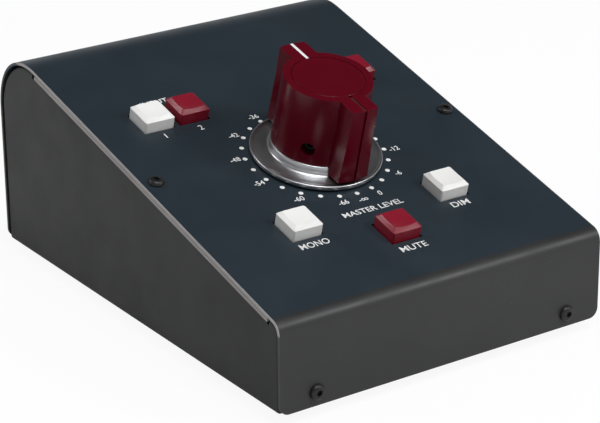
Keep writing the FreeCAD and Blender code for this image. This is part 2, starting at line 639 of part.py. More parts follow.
seat = cylinder("Sizes.collar_radius + Sizes.collar_gap", "Sizes.knob_foot + Sizes.cut_over", z="-Sizes.cut_over")
disc_hole = cylinder("Sizes.disc_radius + Sizes.disc_gap", "Sizes.disc_height + Sizes.cut_over",
                     z="Sizes.knob_top - Sizes.disc_height")
insert_hole = cylinder("Sizes.insert_radius", "Sizes.insert_top + Sizes.cut_over", z="-Sizes.cut_over")


def radial(radius, length, start, turn=0.0):
    """A cylinder that lies along the grub screw's axis, from a distance out of the knob's axis."""
    piece = doc.addObject("Part::Cylinder", "radial")
    direction = number("Sizes.grub_angle")
    piece.Placement = FreeCAD.Placement(
        V(0, 0, 0), FreeCAD.Rotation(V(0, 0, 1), direction + turn) * FreeCAD.Rotation(V(0, 1, 0), 90))
    bind(piece, Radius=radius, Height=length)
    return at(piece, "(%s) * cos(Sizes.grub_angle)" % start, "(%s) * sin(Sizes.grub_angle)" % start,
              "Sizes.grub_height")


def line_cut(width, depth, sense):
    """A cutter for the line along a wing's top and down its end."""
    top = doc.addObject("Part::Box", "line_top")
    reach = "(Sizes.wing_reach - Sizes.disc_radius + Sizes.cut_over)"
    bind(top, Length=width, Width=reach, Height="%s + Sizes.cut_over" % depth)
    start = "Sizes.disc_radius" if sense > 0 else "-Sizes.disc_radius - %s" % reach
    at(top, "-(%s) / 2" % width, start, "Sizes.knob_top - (%s)" % depth)
    down = doc.addObject("Part::Box", "line_end")
    bind(down, Length=width, Width="%s + Sizes.cut_over" % depth, Height="Sizes.knob_top + 2 * Sizes.cut_over")
    start = "Sizes.wing_reach - (%s)" % depth if sense > 0 else "-Sizes.wing_reach - Sizes.cut_over"
    at(down, "-(%s) / 2" % width, start, "-Sizes.cut_over")
    return fuse([top, down])


knob = cut(trimmed, [hollow, seat, disc_hole, insert_hole,
                     radial("Sizes.grub_hole", "Sizes.wing_reach", "Sizes.insert_radius - Sizes.cut_over"),
                     line_cut("Sizes.groove_width", "Sizes.groove_depth", -1),
                     line_cut("Sizes.pointer_width", "Sizes.groove_depth", 1)])
keep(on_panel(knob), "knob_shell")
disc = turned([("0", "Sizes.knob_top - Sizes.disc_height"),
               ("Sizes.disc_radius", "Sizes.knob_top - Sizes.disc_height"),
               ("Sizes.disc_radius", "Sizes.knob_top"), ("0", "Sizes.knob_top")], "disc")
keep(on_panel(disc), "knob_cap_disc")
pointer_solid = doc.addObject("Part::Common", "pointer_solid")
pointer_solid.Base = line_cut("Sizes.pointer_width", "Sizes.groove_depth", 1)
pointer_ring = cut(copy_of(trimmed), [cylinder("Sizes.disc_radius + Sizes.disc_gap", "Sizes.knob_top + Sizes.cut_over", z="0")])
pointer_solid.Tool = pointer_ring
keep(on_panel(pointer_solid), "pointer_line")
insert = cut(cylinder("Sizes.insert_radius", "Sizes.insert_top - Sizes.knob_foot", z="Sizes.knob_foot"),
             [cylinder("Sizes.shaft_radius", "Sizes.shaft_top + Sizes.cut_over", z="0"),
              radial("Sizes.grub_radius", "Sizes.insert_radius + Sizes.cut_over", "0")])
keep(on_panel(insert), "knob_insert")
grub = cut(radial("Sizes.grub_radius", "Sizes.grub_length", "Sizes.shaft_radius"),
           [radial("Sizes.grub_radius / 2", "Sizes.grub_socket + Sizes.cut_over",
                   "Sizes.shaft_radius + Sizes.grub_length - Sizes.grub_socket")])
grub_trim = doc.addObject("Part::Cut", "grub_trim")
grub_trim.Base = grub
grub_trim.Tool = cylinder("Sizes.shaft_radius", "Sizes.shaft_top", z="0")
keep(on_panel(grub_trim), "grub_screw")
sheet = "Sizes.skirt_sheet"
skirt = turned([("Sizes.skirt_hole", "Sizes.knob_foot - " + sheet), ("Sizes.collar_radius - " + sheet, "Sizes.knob_foot - " + sheet),
                ("Sizes.collar_radius - " + sheet, "Sizes.collar_low - " + sheet),
                ("Sizes.rim_radius - Sizes.dish_edge", "Sizes.rim_low + Sizes.rim_round"),
                ("Sizes.rim_radius - Sizes.rim_foot", "Sizes.rim_low"),
                ("Sizes.rim_radius - Sizes.rim_round", "Sizes.rim_low"),
                ("Sizes.rim_radius", "Sizes.rim_low + Sizes.rim_round"),
                ("Sizes.rim_radius", "Sizes.rim_high - Sizes.rim_round"),
                ("Sizes.rim_radius - Sizes.rim_round", "Sizes.rim_high"),
                ("Sizes.rim_radius - Sizes.rim_crest", "Sizes.rim_high"),
                ("Sizes.rim_radius - Sizes.rim_crest - Sizes.rim_fall", "Sizes.rim_high - Sizes.rim_fall"),
                ("Sizes.rim_radius - Sizes.dish_edge", "Sizes.rim_high - Sizes.rim_round"),
                ("Sizes.collar_radius + Sizes.dish_reach", "Sizes.collar_low - Sizes.dish_drop"),
                ("Sizes.collar_radius", "Sizes.collar_low"),
                ("Sizes.collar_radius", "Sizes.knob_foot"), ("Sizes.skirt_hole", "Sizes.knob_foot")], "skirt")
keep(on_panel(skirt), "knob_skirt")

# Rotary switch: bushing through the panel, index housing, star wheel and ball, two contact wafers.
shaft_low = "Derived.board_top + Sizes.shaft_room"
shaft = cylinder("Sizes.shaft_radius", "Sizes.shaft_top - (%s)" % shaft_low, z=shaft_low)
keep(on_panel(together([shaft])), "switch_shaft")
bore = through("Sizes.shaft_radius + Sizes.running_gap")
bushing = cut(cylinder("Sizes.bushing_radius", "Sizes.bushing_top - Derived.index_top", z="Derived.index_top"), [bore])
keep(on_panel(bushing), "switch_bushing")
washer = cut(cylinder("Sizes.washer_radius", "Sizes.washer_height", z="0"),
             [through("Sizes.bushing_radius + Sizes.thread_gap")])
keep(on_panel(washer), "switch_washer")
bushing_nut = cut(hexagon("Sizes.bushing_nut", "Sizes.bushing_nut_height", "Sizes.washer_height"),
                  [through("Sizes.bushing_radius + Sizes.thread_gap")])
keep(on_panel(bushing_nut), "switch_nut")
wall = "Sizes.index_wall"
housing = cut(cylinder("Sizes.index_radius", "Sizes.index_height", z="Derived.index_floor"),
              [cylinder("Sizes.index_radius - " + wall, "Sizes.index_height - 2 * %s" % wall,
                        z="Derived.index_floor + " + wall),
               through("Sizes.shaft_radius + Sizes.running_gap")])
keep(on_panel(housing), "index_housing")
teeth = int(number("Sizes.star_teeth"))
notch_cutters = []
for step in range(teeth):
    notch = doc.addObject("Part::Cylinder", "notch")
    bind(notch, Radius="Sizes.ball_radius", Height="Sizes.star_height + 2 * Sizes.cut_over")
    angle = "%d * 360 / Sizes.star_teeth" % step
    reach = "(Sizes.star_radius + Sizes.ball_radius - Sizes.tooth_depth)"
    notch_cutters.append(at(notch, "%s * sin(%s)" % (reach, angle), "%s * cos(%s)" % (reach, angle),
                            "Derived.star_low - Sizes.cut_over"))
star = cut(cylinder("Sizes.star_radius", "Sizes.star_height", z="Derived.star_low"),
           notch_cutters + [through("Sizes.shaft_radius")])
keep(on_panel(star), "star_wheel")
ball = doc.addObject("Part::Sphere", "ball")
bind(ball, Radius="Sizes.ball_radius")
ball_y = "Sizes.star_radius + Sizes.ball_radius + Sizes.ball_gap"
at(ball, "0", ball_y, "Derived.star_low + Sizes.star_height / 2")
keep(on_panel(together([ball])), "index_ball")
spring_start = "%s + Sizes.ball_radius" % ball_y
spring_room = "Sizes.index_radius - %s - Sizes.spring_gap - (%s)" % (wall, spring_start)
spring = doc.addObject("Part::Cylinder", "spring")
spring.Placement = FreeCAD.Placement(V(0, 0, 0), FreeCAD.Rotation(X_AXIS, -90))
bind(spring, Radius="Sizes.spring_radius", Height=spring_room)
at(spring, "0", spring_start, "Derived.star_low + Sizes.star_height / 2")
keep(on_panel(together([spring])), "index_spring")
wafers = []
rotors = []
for level in (1, 2):
    top = "Derived.index_floor - %d * Sizes.wafer_pitch" % level
    wafers.append(cut(cylinder("Sizes.wafer_radius", "Sizes.wafer_sheet", z=top),
                      [through("Sizes.shaft_radius + Sizes.inner_gap")]))
    rotors.append(cut(cylinder("Sizes.rotor_radius", "Sizes.rotor_sheet",
                               z="%s + Sizes.wafer_sheet + Sizes.inner_gap" % top),
                      [through("Sizes.shaft_radius")]))
posts = []
pins = []
for step in range(int(number("Sizes.post_count"))):
    angle = "(%d + 0.5) * 360 / Sizes.post_count" % step
    posts.append(cylinder("Sizes.post_radius", "Derived.index_floor - Derived.board_top",
                          "Sizes.post_circle * cos(%s)" % angle, "Sizes.post_circle * sin(%s)" % angle,
                          "Derived.board_top"))
wafer_set = cut(together(wafers), [together([copy_of(post) for post in posts])])
keep(on_panel(wafer_set), "contact_wafers")
keep(on_panel(together(rotors)), "rotor_contacts")
keep(on_panel(together(posts)), "wafer_posts")
lowest = "Derived.index_floor - 2 * Sizes.wafer_pitch"
for step in range(int(number("Sizes.pin_count"))):
    angle = "(%d + 0.5) * 360 / Sizes.pin_count" % step
    pins.append(cylinder("Sizes.pin_radius", "%s - Derived.board_top" % lowest,
                         "Sizes.pin_circle * cos(%s)" % angle, "Sizes.pin_circle * sin(%s)" % angle,
                         "Derived.board_top"))
keep(on_panel(together(pins)), "terminal_pins")

# Control board: carried by four standoffs under the panel, with the switches and the ladder resistors on it.
board_low = "Derived.board_top - Sizes.board_sheet"
board = block("Derived.board_width", "Sizes.board_front + Derived.board_rear", "Sizes.board_sheet", "0",
              "(Derived.board_rear - Sizes.board_front) / 2", board_low)
STANDOFFS = [(side + "Derived.standoff_x", v) for side in SIDES for v in ("-Derived.standoff_front", "Derived.standoff_rear")]
board_holes = [cylinder(screw_hole, "Sizes.board_sheet + 2 * Sizes.cut_over", x, y, board_low + " - Sizes.cut_over") for x, y in STANDOFFS]
keep(on_panel(cut(board, board_holes)), "control_board")
standoffs = []
board_screws = []
for x, v in STANDOFFS:
    post = cut(hexagon("Sizes.standoff_width", "Derived.index_top - Derived.board_top", "Derived.board_top"),
               [cylinder("Sizes.screw_radius + Sizes.thread_gap", "Sizes.screw_length",
                         z="Derived.board_top - Sizes.cut_over")])
    standoffs.append(on_panel(post, x, v))
    screw = button_screw("board_screw")
    flipped = doc.addObject("Part::Compound", "flipped")
    flipped.Links = [turn_to(screw, X_AXIS, 180, "0", "0", "0")]
    board_screws.append(on_panel(flipped, x, v, board_low))
keep(together(standoffs), "board_standoffs")
keep(together(board_screws), "board_screws")
resistors = []
for step in range(int(number("Sizes.resistor_count"))):
    angle = "%d * 360 / Sizes.resistor_count" % step
    turn = step * 360.0 / number("Sizes.resistor_count")
    body = doc.addObject("Part::Cylinder", "resistor")
    body.Placement = FreeCAD.Placement(V(0, 0, 0), FreeCAD.Rotation(V(0, 0, 1), turn) * FreeCAD.Rotation(V(0, 1, 0), 90))
    bind(body, Radius="Sizes.resistor_radius", Height="Sizes.resistor_length")
    reach = "(Sizes.resistor_circle - Sizes.resistor_length / 2)"
    resistors.append(at(body, "%s * cos(%s)" % (reach, angle), "%s * sin(%s)" % (reach, angle),
                        "Derived.board_top + Sizes.resistor_radius"))
keep(on_panel(together(resistors)), "ladder_resistors")


# Buttons: a bevelled cap with a dished top on a square plunger that slides in its switch housing.
def cap():
    """One cap in the panel's frame, centred on its own axis."""
    wide = "Sizes.cap_width / 2"
    floor = "-Sizes.cap_skirt"
    corners = [("-" + wide, "-" + wide), (wide, "-" + wide), (wide, wide), ("-" + wide, wide)]
    body = doc.addObject("PartDesign::Body", "cap_block")
    sketch = polygon(body, "XY_Plane", corners)
    sketch.setExpression("AttachmentOffset.Base.z", floor)
    pad = body.newObject("PartDesign::Pad", "sides")
    pad.Profile = sketch
    pad.setExpression("Length", "Sizes.cap_top + Sizes.cap_skirt")
    doc.recompute()
    dress(body, "PartDesign::Fillet", "Sizes.cap_edge", lambda e: runs(e, V(0, 0, 1)), "upright_edges")
    envelope = doc.addObject("Part::Wedge", "envelope")
    bind(envelope, Xmin="-" + wide, Xmax=wide, Zmin="-" + wide, Zmax=wide, Ymin="Sizes.cap_side",
         Ymax="Sizes.cap_top", X2min="-(%s) + Sizes.cap_bevel" % wide, X2max="%s - Sizes.cap_bevel" % wide,
         Z2min="-(%s) + Sizes.cap_bevel" % wide, Z2max="%s - Sizes.cap_bevel" % wide)
    envelope.Placement = FreeCAD.Placement(V(0, 0, 0), FreeCAD.Rotation(X_AXIS, 90))
    lower = block("Sizes.cap_width", "Sizes.cap_width", "Sizes.cap_skirt + Sizes.cap_side", z=floor)
    shaped = doc.addObject("Part::Common", "shaped")
    shaped.Base = body
    shaped.Tool = fuse([envelope, lower])
    dish = doc.addObject("Part::Sphere", "dish")
    bind(dish, Radius="Sizes.dish_radius")
    at(dish, "0", "0", "Sizes.cap_top - Sizes.cap_dish + Sizes.dish_radius")
    inner_width = "Sizes.cap_width - 2 * Sizes.cap_wall"
    roof = "Sizes.cap_top - Sizes.cap_dish - Sizes.cap_roof"
    hollow = cut(block(inner_width, inner_width, "%s + Sizes.cap_skirt + Sizes.cut_over" % roof, z="%s - Sizes.cut_over" % floor),
                 [block("Sizes.plunger_width + 2 * Sizes.cap_wall", "Sizes.plunger_width + 2 * Sizes.cap_wall",
                        "Sizes.through_cut", z="-Sizes.cap_skirt / 2")])
    socket = block("Sizes.plunger_width", "Sizes.plunger_width", "%s + Sizes.cap_skirt + Sizes.cut_over" % roof, z="%s - Sizes.cut_over" % floor)
    return cut(shaped, [dish, hollow, socket])


housings = []
for place, x, v in BUTTONS:
    keep(on_panel(cap(), x, v), place + "_cap")
    low = "Derived.board_top + Sizes.button_travel + Sizes.plunger_room"
    roof = "Sizes.cap_top - Sizes.cap_dish - Sizes.cap_roof"
    bar = block("Sizes.plunger_width", "Sizes.plunger_width", "%s - (%s)" % (roof, low), z=low)
    keep(on_panel(together([bar]), x, v), place + "_plunger")
    gap = "Sizes.plunger_width + 2 * Sizes.plunger_gap"
    box = cut(block("Sizes.switch_width", "Sizes.switch_width", "Sizes.switch_height", z="Derived.board_top"),
              [block(gap, gap, "Sizes.switch_height", z="Derived.board_top + Sizes.switch_floor")])
    housings.append(on_panel(box, x, v))
keep(together(housings), "switch_housings")

# Rear jacks: two rows of four, each a block behind the wall with a threaded nose through it.
wall_in = "Derived.rear_y - Sizes.cover_sheet"
rows = {0: [], 1: []}
jack_nuts = []
jack_washers = []
for column, level in JACKS:
    x = jack_x(column)
    z = jack_z(level)
    shell = block("Sizes.jack_width", "Sizes.jack_depth", "Sizes.jack_width", x,
                  "%s - Sizes.jack_depth / 2" % wall_in, "%s - Sizes.jack_width / 2" % z)
    nose = rear_cylinder("Sizes.jack_thread", "Sizes.cover_sheet + Sizes.jack_nose + Sizes.cut_over", x, "%s - Sizes.cut_over" % wall_in, z)
    hole = rear_cylinder("Sizes.jack_bore", "Sizes.jack_bore_depth + Sizes.cut_over", x,
                         "Derived.rear_y + Sizes.jack_nose - Sizes.jack_bore_depth", z)
    rows[level].append(cut(fuse([shell, nose]), [hole]))
    ring = "Sizes.jack_thread + Sizes.thread_gap"
    flat = cut(cylinder("Sizes.jack_washer_radius", "Sizes.washer_height", z="0"), [through(ring)])
    jack_washers.append(turn_to(flat, X_AXIS, -90, x, "Derived.rear_y", z))
    six = cut(hexagon("Sizes.jack_nut", "Sizes.jack_nut_height", "Sizes.washer_height"), [through(ring)])
    jack_nuts.append(turn_to(six, X_AXIS, -90, x, "Derived.rear_y", z))
keep(together(rows[0]), "output_jacks")
keep(together(rows[1]), "input_jacks")
keep(together(jack_nuts), "jack_nuts")
keep(together(jack_washers), "jack_washers")
board_y = "%s - Sizes.jack_depth - Sizes.board_sheet" % wall_in
middle_z = "Sizes.foot_height + Sizes.jack_low + Sizes.jack_rise / 2"
keep(block("3 * Sizes.jack_pitch + 2 * Sizes.jack_board_margin", "Sizes.board_sheet", "Sizes.jack_board_height", "0",
           "%s + Sizes.board_sheet / 2" % board_y, "%s - Sizes.jack_board_height / 2" % middle_z), "jack_board")

# Ribbon: from a connector under the control board, round one bend, to a connector on the jack board.
upper_header = block("Sizes.header_width", "Sizes.header_depth", "Sizes.header_height",
                     z="%s - Sizes.header_height" % board_low)
lower_header = block("Sizes.header_width", "Sizes.header_height", "Sizes.header_depth", "0",
                     "%s - Sizes.header_height / 2" % board_y, "%s - Sizes.header_depth / 2" % middle_z)
hung_header = on_panel(together([upper_header]), "0", "Derived.header_v")
keep(together([hung_header, lower_header]), "ribbon_headers")
start_w = number(board_low) - number("Sizes.header_height")
lean = math.radians(number("Derived.slope"))
start = V(0, number("Derived.knob_y") + number("Derived.header_v") * math.cos(lean) - start_w * math.sin(lean),
          number("Derived.knob_z") + number("Derived.header_v") * math.sin(lean) + start_w * math.cos(lean))
end = V(0, number(board_y) - number("Sizes.header_height"), number(middle_z))
down = V(0, math.sin(lean), -math.cos(lean))
fall = (start.z - end.z) / math.cos(lean)
corner = start + down * fall
bend = number("Sizes.ribbon_bend")
trim = bend * math.tan((math.pi / 2 - lean) / 2)
bend_in = corner - down * trim
bend_out = corner + V(0, 1, 0) * trim
centre = bend_in + V(0, math.cos(lean), math.sin(lean)) * bend
middle = centre + (corner - centre).normalize() * bend
path = Part.Wire([Part.LineSegment(start, bend_in).toShape(), Part.Arc(bend_in, middle, bend_out).toShape(),
                  Part.LineSegment(bend_out, end).toShape()])
across = V(number("Sizes.ribbon_width") / 2, 0, 0)
thick = V(0, math.cos(lean), math.sin(lean)) * (number("Sizes.ribbon_sheet") / 2)
section = Part.makePolygon([start - across - thick, start + across - thick, start + across + thick,
                            start - across + thick, start - across - thick])
ribbon = doc.addObject("Part::Feature", "ribbon")
ribbon.Shape = path.makePipeShell([section], True, False)
ribbon.Placement = FreeCAD.Placement()
keep(ribbon, "ribbon_cable")

doc.recompute()
for item in doc.Objects:
    if "Invalid" in item.State or "Error" in item.State:
        raise RuntimeError("failed object: %s (%s)" % (item.Label, item.State))
for piece in made:
    if piece.Shape.isNull() or not piece.Shape.isValid() or not piece.Shape.Solids:
        raise RuntimeError("bad shape: %s" % piece.Label)
os.makedirs("parts", exist_ok=True)
for piece in made:
    piece.Shape.exportStep("parts/%s.step" % piece.Label)
print(len(made), "sub-parts")
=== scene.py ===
"""Desktop studio monitor controller: the looks of every piece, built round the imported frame.

Sizes are millimetres until a mesh is placed; the scene itself is in metres. The control panel has a frame
of its own, read from the level knob's joint: x runs right, v climbs the slope, w stands square on the panel.
"""

import json
import logging
import math
from dataclasses import dataclass, field
from enum import Enum
from typing import Callable, Sequence

import bpy
import bmesh
from mathutils import Matrix, Vector


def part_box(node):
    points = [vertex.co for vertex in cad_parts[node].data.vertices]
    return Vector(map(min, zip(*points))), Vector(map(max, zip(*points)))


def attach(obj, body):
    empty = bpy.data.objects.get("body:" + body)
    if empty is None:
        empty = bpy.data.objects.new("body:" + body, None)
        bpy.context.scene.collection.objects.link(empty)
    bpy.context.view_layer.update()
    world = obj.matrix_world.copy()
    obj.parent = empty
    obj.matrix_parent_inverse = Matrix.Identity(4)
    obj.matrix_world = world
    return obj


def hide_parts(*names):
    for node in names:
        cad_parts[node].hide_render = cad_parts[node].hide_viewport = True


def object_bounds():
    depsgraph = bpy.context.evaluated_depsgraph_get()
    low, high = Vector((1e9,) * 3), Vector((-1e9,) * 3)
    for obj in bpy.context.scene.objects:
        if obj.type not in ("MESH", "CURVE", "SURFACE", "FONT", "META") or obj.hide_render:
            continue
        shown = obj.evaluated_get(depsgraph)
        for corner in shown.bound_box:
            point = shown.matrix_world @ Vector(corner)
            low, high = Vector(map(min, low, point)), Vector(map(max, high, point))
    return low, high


MM = 0.001
NEAR = MM / 9  # corners closer than this to a place are at that place
MERGE = 1e-6  # corners of a frame node closer than this become one, in metres
FINE_MERGE = 1e-7  # the same for printed letters
FLAT = 0.5  # faces within this many degrees of each other become one flat face
SQUARE = 0.9  # a face lies square to an axis when its normal has more than this along it
OVER = 1.0  # how far a cutter reaches past what it cuts, in millimetres
LOG = logging.getLogger("monitor_controller")
Colour = tuple[float, float, float]
Profile = Sequence[tuple[float, float]]


class Slot(Enum):
    """Material slots of the record."""

    COVER = "cover_paint"
    CHASSIS = "chassis_paint"
    RUBBER = "foot_rubber"
    SCREW = "black_screws"
    ZINC = "zinc_plate"
    BOARD = "circuit_board"
    BRASS = "brass_parts"
    BLACK = "black_plastic"
    NICKEL = "nickel_plate"
    RIBBON = "ribbon_grey"
    KNOB = "knob_maroon"
    INK = "print_white"
    SPUN = "spun_aluminium"
    RED = "cap_red"
    WHITE = "cap_white"
    RESISTOR = "resistor_body"


class Ends(Enum):
    """How a turned outline closes."""

    FILLED = "a flat face at each end"
    LOOP = "the last ring joins the first"


# Places on the panel


@dataclass(frozen=True)
class Panel:
    """The control panel's frame."""

    origin: Vector
    slope: float

    @classmethod
    def from_joint(cls, joints: Sequence[dict], name: str) -> "Panel":
        """Read the frame from the joint that turns about the panel's normal.

        Args:
            joints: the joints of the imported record.
            name: the joint's name.

        Returns:
            The panel's frame.
        """
        joint = next(item for item in joints if item["name"] == name)
        normal = Vector(joint["axis"])
        return cls(Vector(joint["pos_m"]), math.atan2(-normal.y, normal.z))

    def matrix(self, x: float = 0.0, v: float = 0.0, w: float = 0.0) -> Matrix:
        """The placement of a piece modelled upright at the origin.

        Args:
            x: millimetres across.
            v: millimetres up the slope.
            w: millimetres out of the panel.

        Returns:
            A matrix from millimetres in the panel's frame to metres in the row's frame.
        """
        turn = Matrix.Rotation(self.slope, 4, "X")
        return Matrix.Translation(self.origin) @ turn @ Matrix.Translation(Vector((x, v, w)) * MM) @ SCALE

    def seat(self, node: str) -> tuple[float, float]:
        """Find where a node of the frame stands on the panel.

        Args:
            node: the frame's node.

        Returns:
            Millimetres across and up the slope.
        """
        low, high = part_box(node)
        middle = ((low + high) / 2 - self.origin) / MM
        return middle.x, middle.y * math.cos(self.slope) + middle.z * math.sin(self.slope)

    def height(self, y: float) -> float:
        """The panel plane's height over a depth, both in metres."""
        return self.origin.z + (y - self.origin.y) * math.tan(self.slope)


SCALE = Matrix.Diagonal((MM, MM, MM, 1.0))


def facing(direction: Vector, place: Vector) -> Matrix:
    """The placement of a piece modelled with +Z as its outer end.

    Args:
        direction: where its outer end points, in the row's frame.
        place: its origin in metres.

    Returns:
        A matrix from the piece's millimetres to metres in the row's frame.
    """
    return Matrix.Translation(place) @ direction.to_track_quat("Z", "Y").to_matrix().to_4x4() @ SCALE


# Shaping tools


def pick_only(piece: bpy.types.Object) -> None:
    """Select one object, make it active and leave all others alone.

    Args:
        piece: the object to select.
    """
    bpy.ops.object.select_all(action="DESELECT")
    piece.select_set(True)
    bpy.context.view_layer.objects.active = piece


def take_new(name: str) -> bpy.types.Object:
    """Name the primitive that was just added, with its place in its mesh.

    Args:
        name: the name for its object and its mesh.

    Returns:
        The new piece, its object at the origin.
    """
    piece = bpy.context.active_object
    piece.name = name
    piece.data.name = name
    bpy.ops.object.transform_apply(location=True, rotation=True, scale=True)
    return piece


class Shaper:
    """Edit-mode work on one piece, with faces, edges and corners picked by their place."""

    def __init__(self, piece: bpy.types.Object) -> None:
        """Take the piece to work on."""
        self.piece = piece

    def __enter__(self) -> "Shaper":
        """Open the piece with nothing selected.

        Returns:
            The shaper itself.
        """
        pick_only(self.piece)
        bpy.ops.object.mode_set(mode="EDIT")
        bpy.ops.mesh.select_all(action="DESELECT")
        return self

    def __exit__(self, *problem: object) -> None:
        """Close the piece."""
        bpy.ops.object.mode_set(mode="OBJECT")

    def _mesh(self, kind: str) -> bmesh.types.BMesh:
        """Clear the selection in one select mode.

        Args:
            kind: the select mode: VERT, EDGE or FACE.

        Returns:
            The edited mesh.
        """
        bpy.ops.mesh.select_mode(type=kind)
        bpy.ops.mesh.select_all(action="DESELECT")
        return bmesh.from_edit_mesh(self.piece.data)

    def _pick(self, kind: str, items: str, test: Callable) -> "Shaper":
        """Select the faces, edges or corners that a test accepts.

        Args:
            kind: the select mode: VERT, EDGE or FACE.
            items: the mesh's list of such items.
            test: says whether an item is selected.

        Returns:
            The shaper itself.
        """
        mesh = self._mesh(kind)
        for item in getattr(mesh, items):
            item.select_set(bool(test(item)))
        mesh.select_flush_mode()
        bmesh.update_edit_mesh(self.piece.data)
        return self

    def faces(self, test: Callable[[Vector, Vector], bool]) -> "Shaper":
        """Select faces by middle and normal."""
        return self._pick("FACE", "faces", lambda f: test(f.calc_center_median(), f.normal))

    def edges(self, test: Callable[[Vector, Vector], bool]) -> "Shaper":
        """Select edges by their two ends."""
        return self._pick("EDGE", "edges", lambda e: test(e.verts[0].co, e.verts[1].co))

    def corners(self, test: Callable[[Vector], bool]) -> "Shaper":
        """Select corners by place."""
        return self._pick("VERT", "verts", lambda v: test(v.co))

    def everything(self) -> "Shaper":
        """Select the whole mesh."""
        bpy.ops.mesh.select_all(action="SELECT")
        return self


def turned(name: str, profile: Profile, ends: Ends = Ends.FILLED, segments: int = 96) -> bpy.types.Object:
    """Turn a piece on the lathe, about Z.

    Args:
        name: the piece's name.
        profile: radius and height of each ring, the first ring first.
        ends: how the outline closes.
        segments: facets round the axis.

    Returns:
        The turned piece, in millimetres at the origin.
    """
    first_radius, first_height = profile[0]
    bpy.ops.object.select_all(action="DESELECT")
    bpy.ops.mesh.primitive_circle_add(vertices=segments, radius=first_radius, location=(0, 0, first_height))
    piece = take_new(name)
    with Shaper(piece) as shaper:
        shaper.everything()
        if ends is Ends.FILLED:
            bpy.ops.mesh.edge_face_add()
            shaper.edges(lambda a, b: True)
        radius, height = first_radius, first_height
        bpy.ops.mesh.select_mode(type="EDGE")
        for next_radius, next_height in profile[1:]:
            bpy.ops.mesh.extrude_edges_move()
            ratio = next_radius / radius
            bpy.ops.transform.resize(value=(ratio, ratio, 1.0), center_override=(0, 0, 0))
            bpy.ops.transform.translate(value=(0, 0, next_height - height))
            radius, height = next_radius, next_height
        if ends is Ends.FILLED:
            bpy.ops.mesh.edge_face_add()
        else:
            mesh = bmesh.from_edit_mesh(piece.data)
            for edge in mesh.edges:
                edge.select_set(edge.is_boundary)
            bmesh.update_edit_mesh(piece.data)
            bpy.ops.mesh.bridge_edge_loops()
        shaper.everything()
        bpy.ops.mesh.normals_make_consistent(inside=False)
    return piece


def block(name: str, low: Sequence[float], high: Sequence[float]) -> bpy.types.Object:
    """A squared block between two corners, a start for further shaping or a cutter.

    Args:
        name: the block's name.
        low: its lowest corner.
        high: its highest corner.

    Returns:
        The block.
    """
    bpy.ops.object.select_all(action="DESELECT")
    middle = [(a + b) / 2 for a, b in zip(low, high)]
    spans = [b - a for a, b in zip(low, high)]
    bpy.ops.mesh.primitive_cube_add(size=1.0, location=middle, scale=spans)
    return take_new(name)


def bar(name: str, radius: float, low: float, high: float, sides: int = 64) -> bpy.types.Object:
    """An upright bar of any number of sides, a start for further shaping or a cutter.

    Args:
        name: the bar's name.
        radius: from its axis to its corners.
        low: height of its lower end.
        high: height of its upper end.
        sides: how many sides it has.

    Returns:
        The bar, about Z.
    """
    bpy.ops.object.select_all(action="DESELECT")
    bpy.ops.mesh.primitive_cylinder_add(vertices=sides, radius=radius, depth=high - low,
                                        location=(0, 0, (low + high) / 2))
    return take_new(name)


def modify(piece: bpy.types.Object, kind: str, **settings: object) -> bpy.types.Object:
    """Add a modifier, set it and apply it.

    Args:
        piece: the piece it works on.
        kind: the modifier's type.
        **settings: its properties.

    Returns:
        The same piece.
    """
    pick_only(piece)
    modifier = piece.modifiers.new(kind.lower(), kind)
    for word, value in settings.items():
        setattr(modifier, word, value)
    bpy.ops.object.modifier_apply(modifier=modifier.name)
    return piece


def combine(piece: bpy.types.Object, other: bpy.types.Object, operation: str) -> bpy.types.Object:
    """Cut, join or intersect a piece with another.

    Args:
        piece: the piece that stays.
        other: the piece that is used up.
        operation: DIFFERENCE, UNION or INTERSECT.

    Returns:
        The first piece.
    """
    modify(piece, "BOOLEAN", operation=operation, solver="EXACT", object=other)
    bpy.data.objects.remove(other)
    return piece


def soften(piece: bpy.types.Object, width: float, segments: int = 2,
           angle: float = 30.0) -> bpy.types.Object:
    """Round a piece's edges and shade it so that flat faces stay flat.

    Args:
        piece: the piece.
        width: the rounding, in the mesh's own unit.
        segments: facets across each rounding.
        angle: edges sharper than this many degrees are rounded.

    Returns:
        The same piece.
    """
    pick_only(piece)
    bpy.ops.object.shade_smooth()
    return modify(piece, "BEVEL", width=width, segments=segments, limit_method="ANGLE", harden_normals=True,
                  angle_limit=math.radians(angle), use_clamp_overlap=True, miter_outer="MITER_ARC")


def placed(piece: bpy.types.Object, matrix: Matrix) -> bpy.types.Object:
    """Move a piece's mesh to its place and leave its object at the origin.

    Args:
        piece: the piece.
        matrix: its placement.

    Returns:
        The same piece.
    """
    piece.data.transform(matrix)
    piece.data.update()
    return piece


def twin(piece: bpy.types.Object, name: str, matrix: Matrix) -> bpy.types.Object:
    """A copy with a mesh of its own, put in place.

    Args:
        piece: the piece to copy, in millimetres at the origin.
        name: the copy's name.
        matrix: the copy's placement.

    Returns:
        The copy.
    """
    copy = bpy.data.objects.new(name, piece.data.copy())
    copy.data.name = name
    bpy.context.scene.collection.objects.link(copy)
    return placed(copy, matrix)


def joined(name: str, members: Sequence[bpy.types.Object]) -> bpy.types.Object:
    """Several separate shells made one object.

    Args:
        name: the name of the whole.
        members: the shells, of which the first one stays.

    Returns:
        The whole.
    """
    pick_only(members[0])
    for member in members[1:]:
        member.select_set(True)
    bpy.ops.object.join()
    members[0].name = name
    members[0].data.name = name
    return members[0]


def scrap(*pieces: bpy.types.Object) -> None:
    """Remove patterns that were only copied."""
    for piece in pieces:
        bpy.data.objects.remove(piece)


